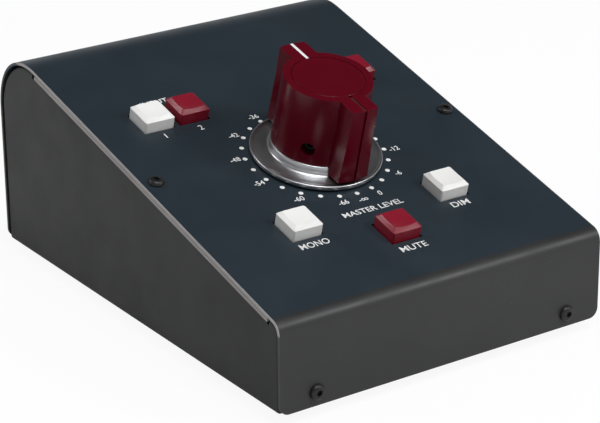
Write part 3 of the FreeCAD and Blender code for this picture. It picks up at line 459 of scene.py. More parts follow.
def refined(node: str, name: str, width: float, angle: float = 30.0) -> bpy.types.Object:
    """A copy of a frame node with merged faces and softened edges.

    Args:
        node: the frame's node.
        name: the copy's name.
        width: rounding of its edges, in millimetres.
        angle: edges sharper than this many degrees are rounded.

    Returns:
        The copy, in place.
    """
    copy = bpy.data.objects.new(name, FRAME["nodes"][node].data.copy())
    copy.data.name = name
    bpy.context.scene.collection.objects.link(copy)
    with Shaper(copy) as shaper:
        shaper.everything()
        bpy.ops.mesh.remove_doubles(threshold=MERGE)
        bpy.ops.mesh.customdata_custom_splitnormals_clear()
        bpy.ops.mesh.dissolve_limited(angle_limit=math.radians(FLAT))
    return soften(copy, width * MM, angle=angle)


# Shader writing


class Graph:
    """Writes nodes and links in one shader tree."""

    def __init__(self, tree: bpy.types.NodeTree) -> None:
        """Take the tree to write in."""
        self.tree = tree

    def add(self, kind: str, **settings: object) -> bpy.types.Node:
        """Add a node and set its properties; inputs are given with feed.

        Args:
            kind: the node's type.
            **settings: its properties.

        Returns:
            The node.
        """
        node = self.tree.nodes.new(kind)
        for word, value in settings.items():
            setattr(node, word, value)
        return node

    def feed(self, node: bpy.types.Node, **inputs: object) -> bpy.types.Node:
        """Set or link inputs by name, with underscores for spaces.

        Args:
            node: the node to feed.
            **inputs: a socket to link, or a plain value, for each input.

        Returns:
            The same node.
        """
        for word, value in inputs.items():
            socket = node.inputs[word.replace("_", " ")]
            if isinstance(value, bpy.types.NodeSocket):
                self.tree.links.new(value, socket)
            else:
                socket.default_value = value
        return node

    def reckon(self, operation: str, *values: object, clamp: bool = False) -> bpy.types.NodeSocket:
        """One math node.

        Args:
            operation: the node's operation.
            *values: sockets or numbers.
            clamp: whether the result is kept between 0 and 1.

        Returns:
            The result's socket.
        """
        node = self.add("ShaderNodeMath", operation=operation, use_clamp=clamp)
        for socket, value in zip(node.inputs, values):
            if isinstance(value, bpy.types.NodeSocket):
                self.tree.links.new(value, socket)
            else:
                socket.default_value = value
        return node.outputs[0]

    def ramp(self, value: bpy.types.NodeSocket, low: float, high: float,
             low_out: float = 0.0, high_out: float = 1.0) -> bpy.types.NodeSocket:
        """Turn a range of a value into another, smoothly and clamped.

        Args:
            value: the socket to read.
            low: start of the range.
            high: end of the range.
            low_out: result at the start.
            high_out: result at the end.

        Returns:
            The result's socket.
        """
        node = self.add("ShaderNodeMapRange", interpolation_type="SMOOTHSTEP")
        self.feed(node, Value=value, From_Min=low, From_Max=high, To_Min=low_out, To_Max=high_out)
        return node.outputs["Result"]

    def blend(self, factor: object, first: object, second: object) -> bpy.types.NodeSocket:
        """Mix two colours.

        Args:
            factor: 0 for the first, 1 for the second.
            first: a colour or socket.
            second: a colour or socket.

        Returns:
            The mixed colour's socket.
        """
        node = self.add("ShaderNodeMix", data_type="RGBA")
        for index, value in ((0, factor), (6, first), (7, second)):
            if isinstance(value, bpy.types.NodeSocket):
                self.tree.links.new(value, node.inputs[index])
            else:
                node.inputs[index].default_value = opaque(value) if isinstance(value, tuple) else value
        return node.outputs[2]

    def place(self) -> bpy.types.NodeSocket:
        """Object coordinates, in metres."""
        return self.add("ShaderNodeTexCoord").outputs["Object"]

    def panel_place(self, panel: Panel) -> bpy.types.NodeSocket:
        """Object coordinates turned into the panel's own frame, in metres.

        Args:
            panel: the panel's frame.

        Returns:
            The place's socket.
        """
        node = self.add("ShaderNodeMapping", vector_type="TEXTURE")
        self.feed(node, Vector=self.place(), Location=panel.origin, Rotation=(panel.slope, 0.0, 0.0))
        return node.outputs["Vector"]

    def noise(self, vector: bpy.types.NodeSocket, scale: float, detail: float = 3.0,
              roughness: float = 0.5) -> bpy.types.NodeSocket:
        """Cloudy noise between about 0.2 and 0.8.

        Args:
            vector: the place it is read at.
            scale: clouds for each metre.
            detail: how many finer layers it has.
            roughness: how strong the finer layers are.

        Returns:
            The noise's socket.
        """
        node = self.add("ShaderNodeTexNoise")
        self.feed(node, Vector=vector, Scale=scale, Detail=detail, Roughness=roughness)
        return node.outputs["Fac"]


def opaque(colour: Colour) -> tuple[float, float, float, float]:
    """A colour with full alpha."""
    return (*colour, 1.0)


def new_group(name: str, inputs: Sequence[tuple[str, str, object]],
              outputs: Sequence[str]) -> tuple[Graph, bpy.types.Node, bpy.types.Node]:
    """Start a shader group with named sockets.

    Args:
        name: the group's name.
        inputs: name, socket type and default of each input.
        outputs: name of each value output.

    Returns:
        The group's graph, its input node and its output node.
    """
    tree = bpy.data.node_groups.new(name, "ShaderNodeTree")
    for word, kind, value in inputs:
        socket = tree.interface.new_socket(word, in_out="INPUT", socket_type=kind)
        if value is not None:
            socket.default_value = value
    for word in outputs:
        tree.interface.new_socket(word, in_out="OUTPUT", socket_type="NodeSocketFloat")
    graph = Graph(tree)
    return graph, graph.add("NodeGroupInput"), graph.add("NodeGroupOutput")


def powder_group() -> bpy.types.NodeTree:
    """Powder coat: rounded orange peel with finer grit on it.

    Returns:
        The group, with outputs Height and Tone.
    """
    graph, given, result = new_group(
        "powder_texture",
        [("Vector", "NodeSocketVector", None), ("Size", "NodeSocketFloat", 0.6)], ["Height", "Tone"])
    smoothness, peel_share = 0.8, 0.7
    grit_fineness, grit_share = 2.2, 0.5
    cloud_scale, cloud_range = 28.0, (0.3, 0.7)
    vector = given.outputs["Vector"]
    scale = graph.reckon("DIVIDE", 1.0 / MM, given.outputs["Size"])
    peel = graph.add("ShaderNodeTexVoronoi", feature="SMOOTH_F1")
    graph.feed(peel, Vector=vector, Scale=scale, Smoothness=smoothness)
    grit = graph.add("ShaderNodeTexNoise")
    graph.feed(grit, Vector=vector, Scale=graph.reckon("MULTIPLY", scale, grit_fineness), Detail=2.0)
    height = graph.reckon("ADD", graph.reckon("MULTIPLY", peel.outputs["Distance"], peel_share),
                          graph.reckon("MULTIPLY", grit.outputs["Fac"], grit_share))
    cloud = graph.noise(vector, cloud_scale)
    graph.feed(result, Height=height, Tone=graph.ramp(cloud, *cloud_range))
    return graph.tree


def wear_group() -> bpy.types.NodeTree:
    """Rubbed edges: a mask that is 1 where the surface turns sharply, broken up by noise.

    Returns:
        The group, with output Mask.
    """
    graph, given, result = new_group(
        "edge_wear",
        [("Vector", "NodeSocketVector", None), ("Reach", "NodeSocketFloat", 0.3)], ["Mask"])
    flat, sharp = 0.97, 0.75
    patch_scale, patch_range = 220.0, (0.42, 0.62)
    rounded = graph.add("ShaderNodeBevel", samples=4)
    graph.feed(rounded, Radius=graph.reckon("MULTIPLY", given.outputs["Reach"], MM))
    agreement = graph.add("ShaderNodeVectorMath", operation="DOT_PRODUCT")
    graph.tree.links.new(rounded.outputs["Normal"], agreement.inputs[0])
    graph.tree.links.new(graph.add("ShaderNodeNewGeometry").outputs["True Normal"], agreement.inputs[1])
    edge = graph.ramp(agreement.outputs["Value"], flat, sharp)
    cloud = graph.noise(given.outputs["Vector"], patch_scale, detail=5.0, roughness=0.6)
    patches = graph.ramp(cloud, *patch_range)
    graph.feed(result, Mask=graph.reckon("MULTIPLY", edge, patches))
    return graph.tree


def handling_group() -> bpy.types.NodeTree:
    """Handling: soft smears for the roughness, and sparse dust specks.

    Returns:
        The group, with outputs Smear and Dust.
    """
    graph, given, result = new_group(
        "handling_marks",
        [("Vector", "NodeSocketVector", None), ("Speck Size", "NodeSocketFloat", 1.6)], ["Smear", "Dust"])
    smear_scale, smear_range = 45.0, (0.35, 0.7)
    speck_range, rare_range = (0.10, 0.05), (0.90, 0.96)
    vector = given.outputs["Vector"]
    smear = graph.ramp(graph.noise(vector, smear_scale, detail=5.0, roughness=0.65), *smear_range)
    cells = graph.add("ShaderNodeTexVoronoi")
    graph.feed(cells, Vector=vector, Scale=graph.reckon("DIVIDE", 1.0 / MM, given.outputs["Speck Size"]))
    speck = graph.ramp(cells.outputs["Distance"], *speck_range)
    split = graph.add("ShaderNodeSeparateColor")
    graph.feed(split, Color=cells.outputs["Color"])
    rare = graph.ramp(split.outputs["Red"], *rare_range)
    graph.feed(result, Smear=smear, Dust=graph.reckon("MULTIPLY", speck, rare))
    return graph.tree


@dataclass(frozen=True)
class Effects:
    """The shader groups that the finishes share."""

    powder: bpy.types.NodeTree
    wear: bpy.types.NodeTree
    handling: bpy.types.NodeTree

    @classmethod
    def build(cls) -> "Effects":
        """Make each group once."""
        return cls(powder_group(), wear_group(), handling_group())


@dataclass(frozen=True)
class Finish:
    """A moulded, painted or plated surface.

    Attributes:
        colour: linear base colour.
        second: colour of the cloudy variation.
        worn: colour of edges worn by rubbing.
        wear: share of the wear that shows.
        roughness: where the surface is clean.
        smear: what handling adds to the roughness.
        metallic: 1 for uncoated metal.
        coat: clear gloss over the colour.
        specular: strength of the base reflection.
        grain: size of the surface texture in millimetres.
        depth: height of that texture in millimetres.
        dust: share of pale specks that shows.
    """

    colour: Colour
    second: Colour
    worn: Colour
    wear: float = 0.3
    roughness: float = 0.4
    smear: float = 0.08
    metallic: float = 0.0
    coat: float = 0.0
    specular: float = 0.5
    grain: float = 0.6
    depth: float = 0.01
    dust: float = 0.0

    def base_colour(self, graph: Graph, tone: bpy.types.NodeSocket) -> bpy.types.NodeSocket:
        """The clean colour, before wear and dust."""
        return graph.blend(tone, self.colour, self.second)

    def relief(self, graph: Graph, height: bpy.types.NodeSocket) -> bpy.types.NodeSocket:
        """The surface's texture as a height between about 0 and 1."""
        return height

    def build(self, name: str, effects: Effects) -> bpy.types.Material:
        """Write the material.

        Args:
            name: the material's name.
            effects: the shared groups.

        Returns:
            The material.
        """
        material = bpy.data.materials.new(name)
        material.use_nodes = True
        material.node_tree.nodes.clear()
        graph = Graph(material.node_tree)
        shader = graph.add("ShaderNodeBsdfPrincipled")
        graph.feed(graph.add("ShaderNodeOutputMaterial"), Surface=shader.outputs["BSDF"])
        place = graph.place()
        powder = graph.feed(graph.add("ShaderNodeGroup", node_tree=effects.powder), Vector=place,
                            Size=self.grain)
        wear = graph.feed(graph.add("ShaderNodeGroup", node_tree=effects.wear), Vector=place)
        marks = graph.feed(graph.add("ShaderNodeGroup", node_tree=effects.handling), Vector=place)
        clean = self.base_colour(graph, powder.outputs["Tone"])
        worn = graph.blend(graph.reckon("MULTIPLY", wear.outputs["Mask"], self.wear), clean, self.worn)
        dusty = graph.blend(graph.reckon("MULTIPLY", marks.outputs["Dust"], self.dust), worn, DUST)
        rough = graph.reckon("MULTIPLY_ADD", marks.outputs["Smear"], self.smear, self.roughness, clamp=True)
        bump = graph.add("ShaderNodeBump")
        graph.feed(bump, Height=self.relief(graph, powder.outputs["Height"]), Distance=self.depth * MM,
                   Strength=1.0)
        graph.feed(shader, Base_Color=dusty, Roughness=rough, Metallic=self.metallic,
                   Normal=bump.outputs["Normal"], Coat_Weight=self.coat, Coat_Roughness=COAT_ROUGHNESS,
                   Specular_IOR_Level=self.specular)
        return material


DUST: Colour = (0.45, 0.44, 0.42)
COAT_ROUGHNESS = 0.08


@dataclass(frozen=True)
class CoverPaint(Finish):
    """The cover: charcoal powder coat with the panel's own colour over the slope and the rear bend.

    Attributes:
        panel: the panel's frame.
        panel_colour: linear colour of the panel.
        panel_second: its second colour.
        front_end: where the panel's colour stops, millimetres down the slope from the knob's axis.
        depth_end: how far below the panel's plane its colour reaches at the rear, in millimetres.
        sheet_edge: linear colour of a painted highlight on the sheet's side edges.
        edge_at: where those edges start, as a distance from the middle in millimetres.
        edge_depth: how far below the panel's plane the painted highlight reaches, in millimetres.
        border_blur: half the width over which the panel's colour fades out at the front, in millimetres.
        depth_blur: the same at the rear, in full.
        edge_blur: the same for the painted edge highlight, in full.
    """

    panel: Panel = field(default_factory=lambda: PANEL)
    panel_colour: Colour = (0.0115, 0.0205, 0.0290)
    panel_second: Colour = (0.0140, 0.0240, 0.0335)
    sheet_edge: Colour = (0.30, 0.29, 0.29)
    front_end: float = 72.1
    depth_end: float = 12.0
    edge_at: float = 64.8
    edge_depth: float = 4.0
    border_blur: float = 0.15
    depth_blur: float = 0.2
    edge_blur: float = 1.0

    def base_colour(self, graph: Graph, tone: bpy.types.NodeSocket) -> bpy.types.NodeSocket:
        """The charcoal coat, with the panel's colour inside its border and a painted highlight on the side edges.

        Args:
            graph: the material's graph.
            tone: the cloudy variation.

        Returns:
            The colour's socket.
        """
        charcoal = graph.blend(tone, self.colour, self.second)
        navy = graph.blend(tone, self.panel_colour, self.panel_second)
        split = graph.add("ShaderNodeSeparateXYZ")
        graph.feed(split, Vector=graph.panel_place(self.panel))
        front = graph.ramp(split.outputs["Y"], (-self.front_end - self.border_blur) * MM,
                           (-self.front_end + self.border_blur) * MM)
        above = graph.ramp(split.outputs["Z"], (-self.depth_end - self.depth_blur) * MM,
                           -self.depth_end * MM)
        coats = graph.blend(graph.reckon("MULTIPLY", front, above), charcoal, navy)
        # Painted highlight: the sheet's side edges near the panel get a pale colour for the light they catch.
        across = graph.reckon("ABSOLUTE", split.outputs["X"])
        near_top = graph.ramp(split.outputs["Z"], -self.edge_depth * MM,
                              (self.edge_blur - self.edge_depth) * MM)
        bare = graph.reckon("MULTIPLY", graph.reckon("GREATER_THAN", across, self.edge_at * MM), near_top)
        return graph.blend(bare, coats, self.sheet_edge)


@dataclass(frozen=True)
class ChassisPaint(Finish):
    """The tray: charcoal powder coat, darker than the cover's as painted shade, with a painted highlight in pale
    grey along the bends under the panel's edges.

    Attributes:
        panel: the panel's frame.
        bare: linear colour of the painted highlight along the bends.
        bare_second: its second colour.
        inward: how far the bend reaches in, as a distance from the middle in millimetres.
        depth_end: the bend's lower end below the panel, in millimetres.
        front_end: the flange's front end, millimetres down the slope from the knob's axis.
        rear_end: the flange's rear end, millimetres up the slope from the knob's axis.
    """

    panel: Panel = field(default_factory=lambda: PANEL)
    bare: Colour = (0.34, 0.32, 0.31)
    bare_second: Colour = (0.27, 0.25, 0.245)
    inward: float = 63.4
    depth_end: float = 2.9
    front_end: float = 69.6
    rear_end: float = 80.8

    def base_colour(self, graph: Graph, tone: bpy.types.NodeSocket) -> bpy.types.NodeSocket:
        """The darkened coat, with a painted highlight in pale grey along the two long bends.

        Args:
            graph: the material's graph.
            tone: the cloudy variation.

        Returns:
            The colour's socket.
        """
        coat = graph.blend(tone, self.colour, self.second)
        # Painted highlight: pale grey along the bends for the light they catch, only over the flange's length.
        highlight_colour = graph.blend(tone, self.bare, self.bare_second)
        split = graph.add("ShaderNodeSeparateXYZ")
        graph.feed(split, Vector=graph.panel_place(self.panel))
        across = graph.reckon("ABSOLUTE", split.outputs["X"])
        mask = graph.reckon("GREATER_THAN", across, self.inward * MM)
        for test, value, limit in (("GREATER_THAN", "Z", -self.depth_end),
                                   ("GREATER_THAN", "Y", -self.front_end),
                                   ("LESS_THAN", "Y", self.rear_end)):
            mask = graph.reckon("MULTIPLY", mask, graph.reckon(test, split.outputs[value], limit * MM))
        return graph.blend(mask, coat, highlight_colour)


@dataclass(frozen=True)
class TurnedMetal(Finish):
    """Metal turned or spun about the knob's axis: fine rings in its relief and tone.

    Attributes:
        panel: the panel's frame.
        pitch: ring to ring, in millimetres.
        ring_range: where the rings' noise turns from one tone to the other.
    """

    panel: Panel = field(default_factory=lambda: PANEL)
    pitch: float = 0.12
    ring_range: tuple[float, float] = (0.3, 0.7)

    def rings(self, graph: Graph) -> bpy.types.NodeSocket:
        """Uneven rings round the knob's axis.

        Args:
            graph: the material's graph.

        Returns:
            The rings' socket.
        """
        split = graph.add("ShaderNodeSeparateXYZ")
        graph.feed(split, Vector=graph.panel_place(self.panel))
        x, v = split.outputs["X"], split.outputs["Y"]
        radius = graph.reckon("SQRT", graph.reckon("ADD", graph.reckon("MULTIPLY", x, x),
                                                   graph.reckon("MULTIPLY", v, v)))
        line = graph.add("ShaderNodeCombineXYZ")
        graph.feed(line, X=radius, Z=split.outputs["Z"])
        return graph.noise(line.outputs["Vector"], 1.0 / (self.pitch * MM), detail=4.0, roughness=0.7)

    def base_colour(self, graph: Graph, tone: bpy.types.NodeSocket) -> bpy.types.NodeSocket:
        """The metal's tone, a little uneven from ring to ring."""
        return graph.blend(graph.ramp(self.rings(graph), *self.ring_range), self.colour, self.second)

    def relief(self, graph: Graph, height: bpy.types.NodeSocket) -> bpy.types.NodeSocket:
        """Rings in place of the powder texture."""
        return self.rings(graph)


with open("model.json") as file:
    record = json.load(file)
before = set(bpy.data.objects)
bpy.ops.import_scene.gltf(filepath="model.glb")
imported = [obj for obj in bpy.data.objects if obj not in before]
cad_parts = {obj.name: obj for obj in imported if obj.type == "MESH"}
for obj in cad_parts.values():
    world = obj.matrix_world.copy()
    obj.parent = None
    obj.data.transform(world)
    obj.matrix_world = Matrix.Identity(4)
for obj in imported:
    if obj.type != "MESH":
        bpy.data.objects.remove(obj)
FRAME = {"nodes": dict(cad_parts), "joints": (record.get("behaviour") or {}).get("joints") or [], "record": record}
CAD_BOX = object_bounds()
PANEL = Panel.from_joint(FRAME["joints"], "level_knob")


def finishes() -> dict[Slot, Finish]:
    """The finish of each slot.

    Returns:
        A finish for every slot of the record.
    """
    return {
        Slot.COVER: CoverPaint((0.019, 0.0195, 0.0205), (0.023, 0.0235, 0.0245), (0.16, 0.16, 0.165),
                               wear=0.5, roughness=0.42, specular=0.4, grain=0.55, depth=0.012, dust=0.25),
        # The tray's colours are the cover's charcoal at about 0.55: painted shade for its sides, which are the
        # same paint lit less.
        Slot.CHASSIS: ChassisPaint((0.0105, 0.0112, 0.0122), (0.0135, 0.0142, 0.0152), (0.16, 0.16, 0.165),
                                   wear=0.5, roughness=0.42, specular=0.25, grain=0.55, depth=0.014,
                                   dust=0.3),
        Slot.RUBBER: Finish((0.012, 0.012, 0.012), (0.018, 0.018, 0.018), (0.04, 0.04, 0.04),
                            roughness=0.75, specular=0.25, grain=0.35, depth=0.02, dust=0.6),
        Slot.SCREW: Finish((0.012, 0.012, 0.013), (0.02, 0.02, 0.021), (0.25, 0.25, 0.26), wear=0.6,
                           roughness=0.38, metallic=0.4, grain=0.2, depth=0.006, dust=0.3),
        Slot.ZINC: Finish((0.55, 0.56, 0.58), (0.62, 0.61, 0.58), (0.8, 0.8, 0.8), metallic=1.0,
                          roughness=0.32, grain=0.3, depth=0.004, dust=0.2),
        Slot.BOARD: Finish((0.012, 0.10, 0.035), (0.018, 0.13, 0.045), (0.35, 0.33, 0.18), wear=0.4,
                           roughness=0.35, grain=1.1, depth=0.006, dust=0.3),
        Slot.BRASS: Finish((0.68, 0.47, 0.18), (0.60, 0.41, 0.16), (0.8, 0.62, 0.3), metallic=1.0,
                           roughness=0.28, grain=0.25, depth=0.004),
        Slot.BLACK: Finish((0.014, 0.014, 0.015), (0.02, 0.02, 0.021), (0.06, 0.06, 0.06),
                           roughness=0.48, grain=0.25, depth=0.008, dust=0.3),
        Slot.NICKEL: Finish((0.62, 0.60, 0.56), (0.68, 0.66, 0.62), (0.8, 0.8, 0.78), metallic=1.0,
                            roughness=0.2, grain=0.3, depth=0.003, dust=0.2),
        Slot.RIBBON: Finish((0.30, 0.30, 0.31), (0.36, 0.36, 0.37), (0.42, 0.42, 0.43),
                            roughness=0.5, grain=0.9, depth=0.02),
        Slot.KNOB: Finish((0.080, 0.0003, 0.006), (0.090, 0.0004, 0.007), (0.20, 0.02, 0.035), wear=0.6,
                          roughness=0.17, smear=0.07, specular=0.3, grain=2.4, depth=0.002, dust=0.1),
        Slot.INK: Finish((0.78, 0.79, 0.79), (0.70, 0.71, 0.71), (0.8, 0.8, 0.8),
                         roughness=0.55, grain=0.2, depth=0.004),
        Slot.SPUN: TurnedMetal((0.40, 0.405, 0.42), (0.54, 0.545, 0.56), (0.8, 0.8, 0.8), metallic=1.0,
                               roughness=0.3, smear=0.08, grain=0.3, depth=0.004),
        Slot.RED: Finish((0.19, 0.006, 0.018), (0.21, 0.008, 0.021), (0.42, 0.12, 0.14), wear=0.5,
                         roughness=0.27, smear=0.08, specular=0.3, grain=1.6, depth=0.003, dust=0.1),
        Slot.WHITE: Finish((0.80, 0.80, 0.79), (0.77, 0.77, 0.755), (0.84, 0.84, 0.83), wear=0.4,
                           roughness=0.36, smear=0.1, grain=0.5, depth=0.006, dust=0.0),
        Slot.RESISTOR: Finish((0.10, 0.26, 0.42), (0.12, 0.30, 0.47), (0.3, 0.4, 0.5),
                              roughness=0.3, coat=0.3, grain=0.4, depth=0.01),
    }


@dataclass
class Workshop:
    """Hands finished pieces over to the frame.

    Attributes:
        materials: the material of each slot.
        count: pieces handed over so far.
    """

    materials: dict[Slot, bpy.types.Material]
    count: int = 0

    def dress_frame(self) -> None:
        """Give every node of the frame the finish of its slot."""
        slots = {row["node"]: Slot(row["material_slot"]) for row in FRAME["record"]["subparts"]}
        for node, piece in FRAME["nodes"].items():
            piece.data.materials.clear()
            piece.data.materials.append(self.materials[slots[node]])

    def hand_over(self, piece: bpy.types.Object, body: str, slot: Slot,
                  nodes: Sequence[str] = ()) -> bpy.types.Object:
        """Paint a piece, tie it to its body and let it stand for frame nodes.

        Args:
            piece: the finished piece, in place.
            body: the body that it rides on.
            slot: its finish.
            nodes: the frame nodes that it replaces.

        Returns:
            The same piece.
        """
        piece.data.materials.clear()
        piece.data.materials.append(self.materials[slot])
        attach(piece, body)
        if nodes:
            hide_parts(*nodes)
        self.count += 1
        LOG.info("%s: %d faces on %s", piece.name, len(piece.data.polygons), body)
        return piece


CAP_COLOURS: dict[str, Slot] = {
    "input_1": Slot.WHITE,
    "input_2": Slot.RED,
    "output_1": Slot.WHITE,
    "output_2": Slot.RED,
    "mono": Slot.WHITE,
    "mute": Slot.RED,
    "dim": Slot.WHITE,
}


@dataclass
class Fastener:
    """A button-head screw with a hexagon socket, its seat at the origin."""

    head_radius: float = 2.75
    head_height: float = 1.65
    rim_height: float = 0.35
    socket_width: float = 2.0
    socket_depth: float = 1.1
    shank_radius: float = 1.5
    shank_length: float = 6.0
    dome_rings: int = 7
    crown_share: float = 0.72
    edge_round: float = 0.06
    facets: int = 48

    def pattern(self, name: str) -> bpy.types.Object:
        """Model one screw.

        Args:
            name: the pattern's name.

        Returns:
            The screw in millimetres, its head upwards.
        """
        chamfer, edge = 0.3, 0.1
        profile = [(self.shank_radius - chamfer, -self.shank_length),
                   (self.shank_radius, chamfer - self.shank_length), (self.shank_radius, 0.0),
                   (self.head_radius - edge, 0.0), (self.head_radius, edge),
                   (self.head_radius, self.rim_height)]
        crown = self.socket_width * self.crown_share
        for step in range(1, self.dome_rings + 1):
            turn = math.pi / 2 * step / self.dome_rings
            radius = crown + (self.head_radius - crown) * math.cos(turn)
            height = self.rim_height + (self.head_height - self.rim_height) * math.sin(turn)
            profile.append((radius, height))
        screw = turned(name, profile, segments=self.facets)
        socket = bar("socket", self.socket_width / math.sqrt(3), self.head_height - self.socket_depth,
                     self.head_height + OVER, sides=6)
        combine(screw, socket, "DIFFERENCE")
        return soften(screw, self.edge_round, angle=35.0)


@dataclass
class Case:
    """The folded cover, the tray under it, their screws and the feet."""

    shop: Workshop
    sheet: float = 1.0
    front_bend: float = 4.5
    front_facets: int = 10
    rear_bend: float = 21.0
    rear_facets: int = 24
    wall_corner: float = 3.5
    corner_facets: int = 8
    cap_hole: float = 12.4
    bushing_hole: float = 4.8
    screw_hole: float = 1.7
    screw_facets: int = 32
    screw_seats: tuple[tuple[float, float], ...] = ((-60.0, 5.8), (60.0, 5.8))
    wall_screw_x: float = 51.0
    wall_screw_z: float = 8.9
    jack_hole: float = 5.4
    jack_facets: int = 48
    jack_columns: tuple[float, ...] = (-40.5, -13.5, 13.5, 40.5)
    jack_levels: tuple[float, ...] = (23.0, 44.0)
    edge_round: float = 0.25
    notches: tuple[float, ...] = (-70.2, 81.5)
    notch_width: float = 1.3
    notch_depth: float = 1.6
    notch_reach: float = 3.3

    def __post_init__(self) -> None:
        """Read the cover's outline from the frame."""
        self.low, self.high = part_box("top_cover")
        self.front_corner = PANEL.height(self.low.y)
        self.rear_corner = PANEL.height(self.high.y)

    def build(self) -> None:
        """Make every piece of the case."""
        self.build_cover()
        self.build_chassis()
        self.build_screws()
        self.build_feet()

    def build_cover(self) -> bpy.types.Object:
        """Fold the cover: a wedge with two bends, opened below and at the sides, then made a sheet.

        Returns:
            The cover, handed over.
        """
        low, high = self.low, self.high
        cover = block("cover_shell", low, (high.x, high.y, self.rear_corner))
        lean = PANEL.slope
        with Shaper(cover) as shaper:
            shaper.corners(lambda c: c.z > self.rear_corner - MM and c.y < low.y + MM)
            bpy.ops.transform.translate(value=(0, 0, self.front_corner - self.rear_corner))
            bends = ((low.y, self.front_corner, self.front_bend, math.pi / 2 - lean, self.front_facets),
                     (high.y, self.rear_corner, self.rear_bend, math.pi / 2 + lean, self.rear_facets))
            for y, z, radius, turn, parts in bends:
                shaper.edges(lambda a, b: all(abs(c.y - y) < NEAR and abs(c.z - z) < NEAR for c in (a, b)))
                bpy.ops.mesh.bevel(offset=radius * MM * math.tan(turn / 2), segments=parts, affect="EDGES")
            shaper.faces(lambda c, n: abs(n.x) > SQUARE or n.z < -SQUARE)
            bpy.ops.mesh.delete(type="FACE")
            shaper.corners(lambda c: c.z < low.z + NEAR)
            bpy.ops.mesh.bevel(offset=self.wall_corner * MM, segments=self.corner_facets,
                               affect="VERTICES")
        modify(cover, "SOLIDIFY", thickness=self.sheet * MM, offset=-1.0, use_even_offset=True)
        combine(cover, self.hole_cutter(), "DIFFERENCE")
        soften(cover, self.edge_round * MM, angle=40.0)
        return self.shop.hand_over(cover, "case", Slot.COVER, ["top_cover"])

    def hole_cutter(self) -> bpy.types.Object:
        """Make every hole of the cover in one cutter.

        Returns:
            The cutter.
        """
        over = 1.5
        deep = -self.sheet - over
        half = self.cap_hole / 2
        tools = [placed(block("cap_hole", (-half, -half, deep), (half, half, over)),
                        PANEL.matrix(*PANEL.seat(name + "_cap"))) for name in CAP_COLOURS]
        tools.append(placed(bar("bushing_hole", self.bushing_hole, deep, over), PANEL.matrix()))
        tools += [placed(bar("panel_hole", self.screw_hole, deep, over, sides=self.screw_facets),
                         PANEL.matrix(x, v)) for x, v in self.screw_seats]
        rearward = Vector((0, 1, 0))
        for y in (self.low.y, self.high.y):
            for x in (-self.wall_screw_x, self.wall_screw_x):
                hole = bar("wall_hole", self.screw_hole, deep, -deep, sides=self.screw_facets)
                tools.append(placed(hole, facing(rearward, Vector((x * MM, y, self.wall_screw_z * MM)))))
        for x in self.jack_columns:
            for z in self.jack_levels:
                tools.append(placed(bar("jack_hole", self.jack_hole, deep, over, sides=self.jack_facets),
                                    facing(rearward, Vector((x * MM, self.high.y, z * MM)))))
        return joined("cover_holes", tools)

    def build_chassis(self) -> bpy.types.Object:
        """Notch the flanges of the tray under the cover.

        Returns:
            The tray, handed over.
        """
        tray = refined("bottom_chassis", "chassis_tray", width=0.2)
        low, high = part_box("bottom_chassis")
        notches = []
        for x in (low.x / MM, high.x / MM):
            for v in self.notches:
                cutter = block("notch", (-self.notch_depth, -self.notch_width / 2, -self.notch_reach),
                               (self.notch_depth, self.notch_width / 2, 0.0))
                notches.append(placed(cutter, PANEL.matrix(x, v)))
        combine(tray, joined("chassis_notches", notches), "DIFFERENCE")
        return self.shop.hand_over(tray, "case", Slot.CHASSIS, ["bottom_chassis"])

    def build_screws(self) -> None:
        """The screws of the panel and of both walls."""
        pattern = Fastener().pattern("screw_pattern")
        on_panel = [twin(pattern, "panel_screw", PANEL.matrix(x, v)) for x, v in self.screw_seats]
        self.shop.hand_over(joined("panel_screw_pair", on_panel), "case", Slot.SCREW, ["panel_screws"])
        for word, y, direction in (("front", self.low.y, -1), ("rear", self.high.y, 1)):
            pair = [twin(pattern, word + "_screw", facing(Vector((0, direction, 0)),
                                                          Vector((x * MM, y, self.wall_screw_z * MM))))
                    for x in (-self.wall_screw_x, self.wall_screw_x)]
            self.shop.hand_over(joined(word + "_screw_pair", pair), "case", Slot.SCREW, [word + "_screws"])
        low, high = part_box("foot_screws")
        reach = Fastener().head_radius * MM
        seat = low.z + Fastener().head_height * MM
        under = [twin(pattern, "foot_screw", facing(Vector((0, 0, -1)), Vector((x, y, seat))))
                 for x in (low.x + reach, high.x - reach) for y in (low.y + reach, high.y - reach)]
        self.shop.hand_over(joined("foot_screw_set", under), "case", Slot.SCREW, ["foot_screws"])
        scrap(pattern)

    def build_feet(self) -> None:
        """Four rubber feet with a recess for their screws."""
        low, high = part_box("foot_front_left")
        radius = (high.x - low.x) / 2 / MM
        height = (high.z - low.z) / MM
        recess, recess_radius, hole, chamfer = 2.25, 3.35, 1.7, 0.25
        rim, halfway, near_end, lip = 1.2, 0.5, 0.13, 0.3
        profile = [(hole, recess), (recess_radius, recess), (recess_radius, chamfer),
                   (recess_radius + chamfer, 0.0), (radius - rim, 0.0),
                   (radius - rim * halfway, rim * near_end), (radius - rim * near_end, rim * halfway),
                   (radius, rim), (radius, height - lip), (radius - lip, height), (hole, height)]
        pattern = turned("foot_pattern", profile, Ends.LOOP, segments=64)
        soften(pattern, width=0.08, angle=50.0)
        for node in ("foot_front_left", "foot_front_right", "foot_rear_left", "foot_rear_right"):
            low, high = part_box(node)
            place = Vector(((low.x + high.x) / 2, (low.y + high.y) / 2, low.z))
            foot = twin(pattern, node + "_rubber", Matrix.Translation(place) @ SCALE)
            self.shop.hand_over(foot, "case", Slot.RUBBER, [node])
        scrap(pattern)


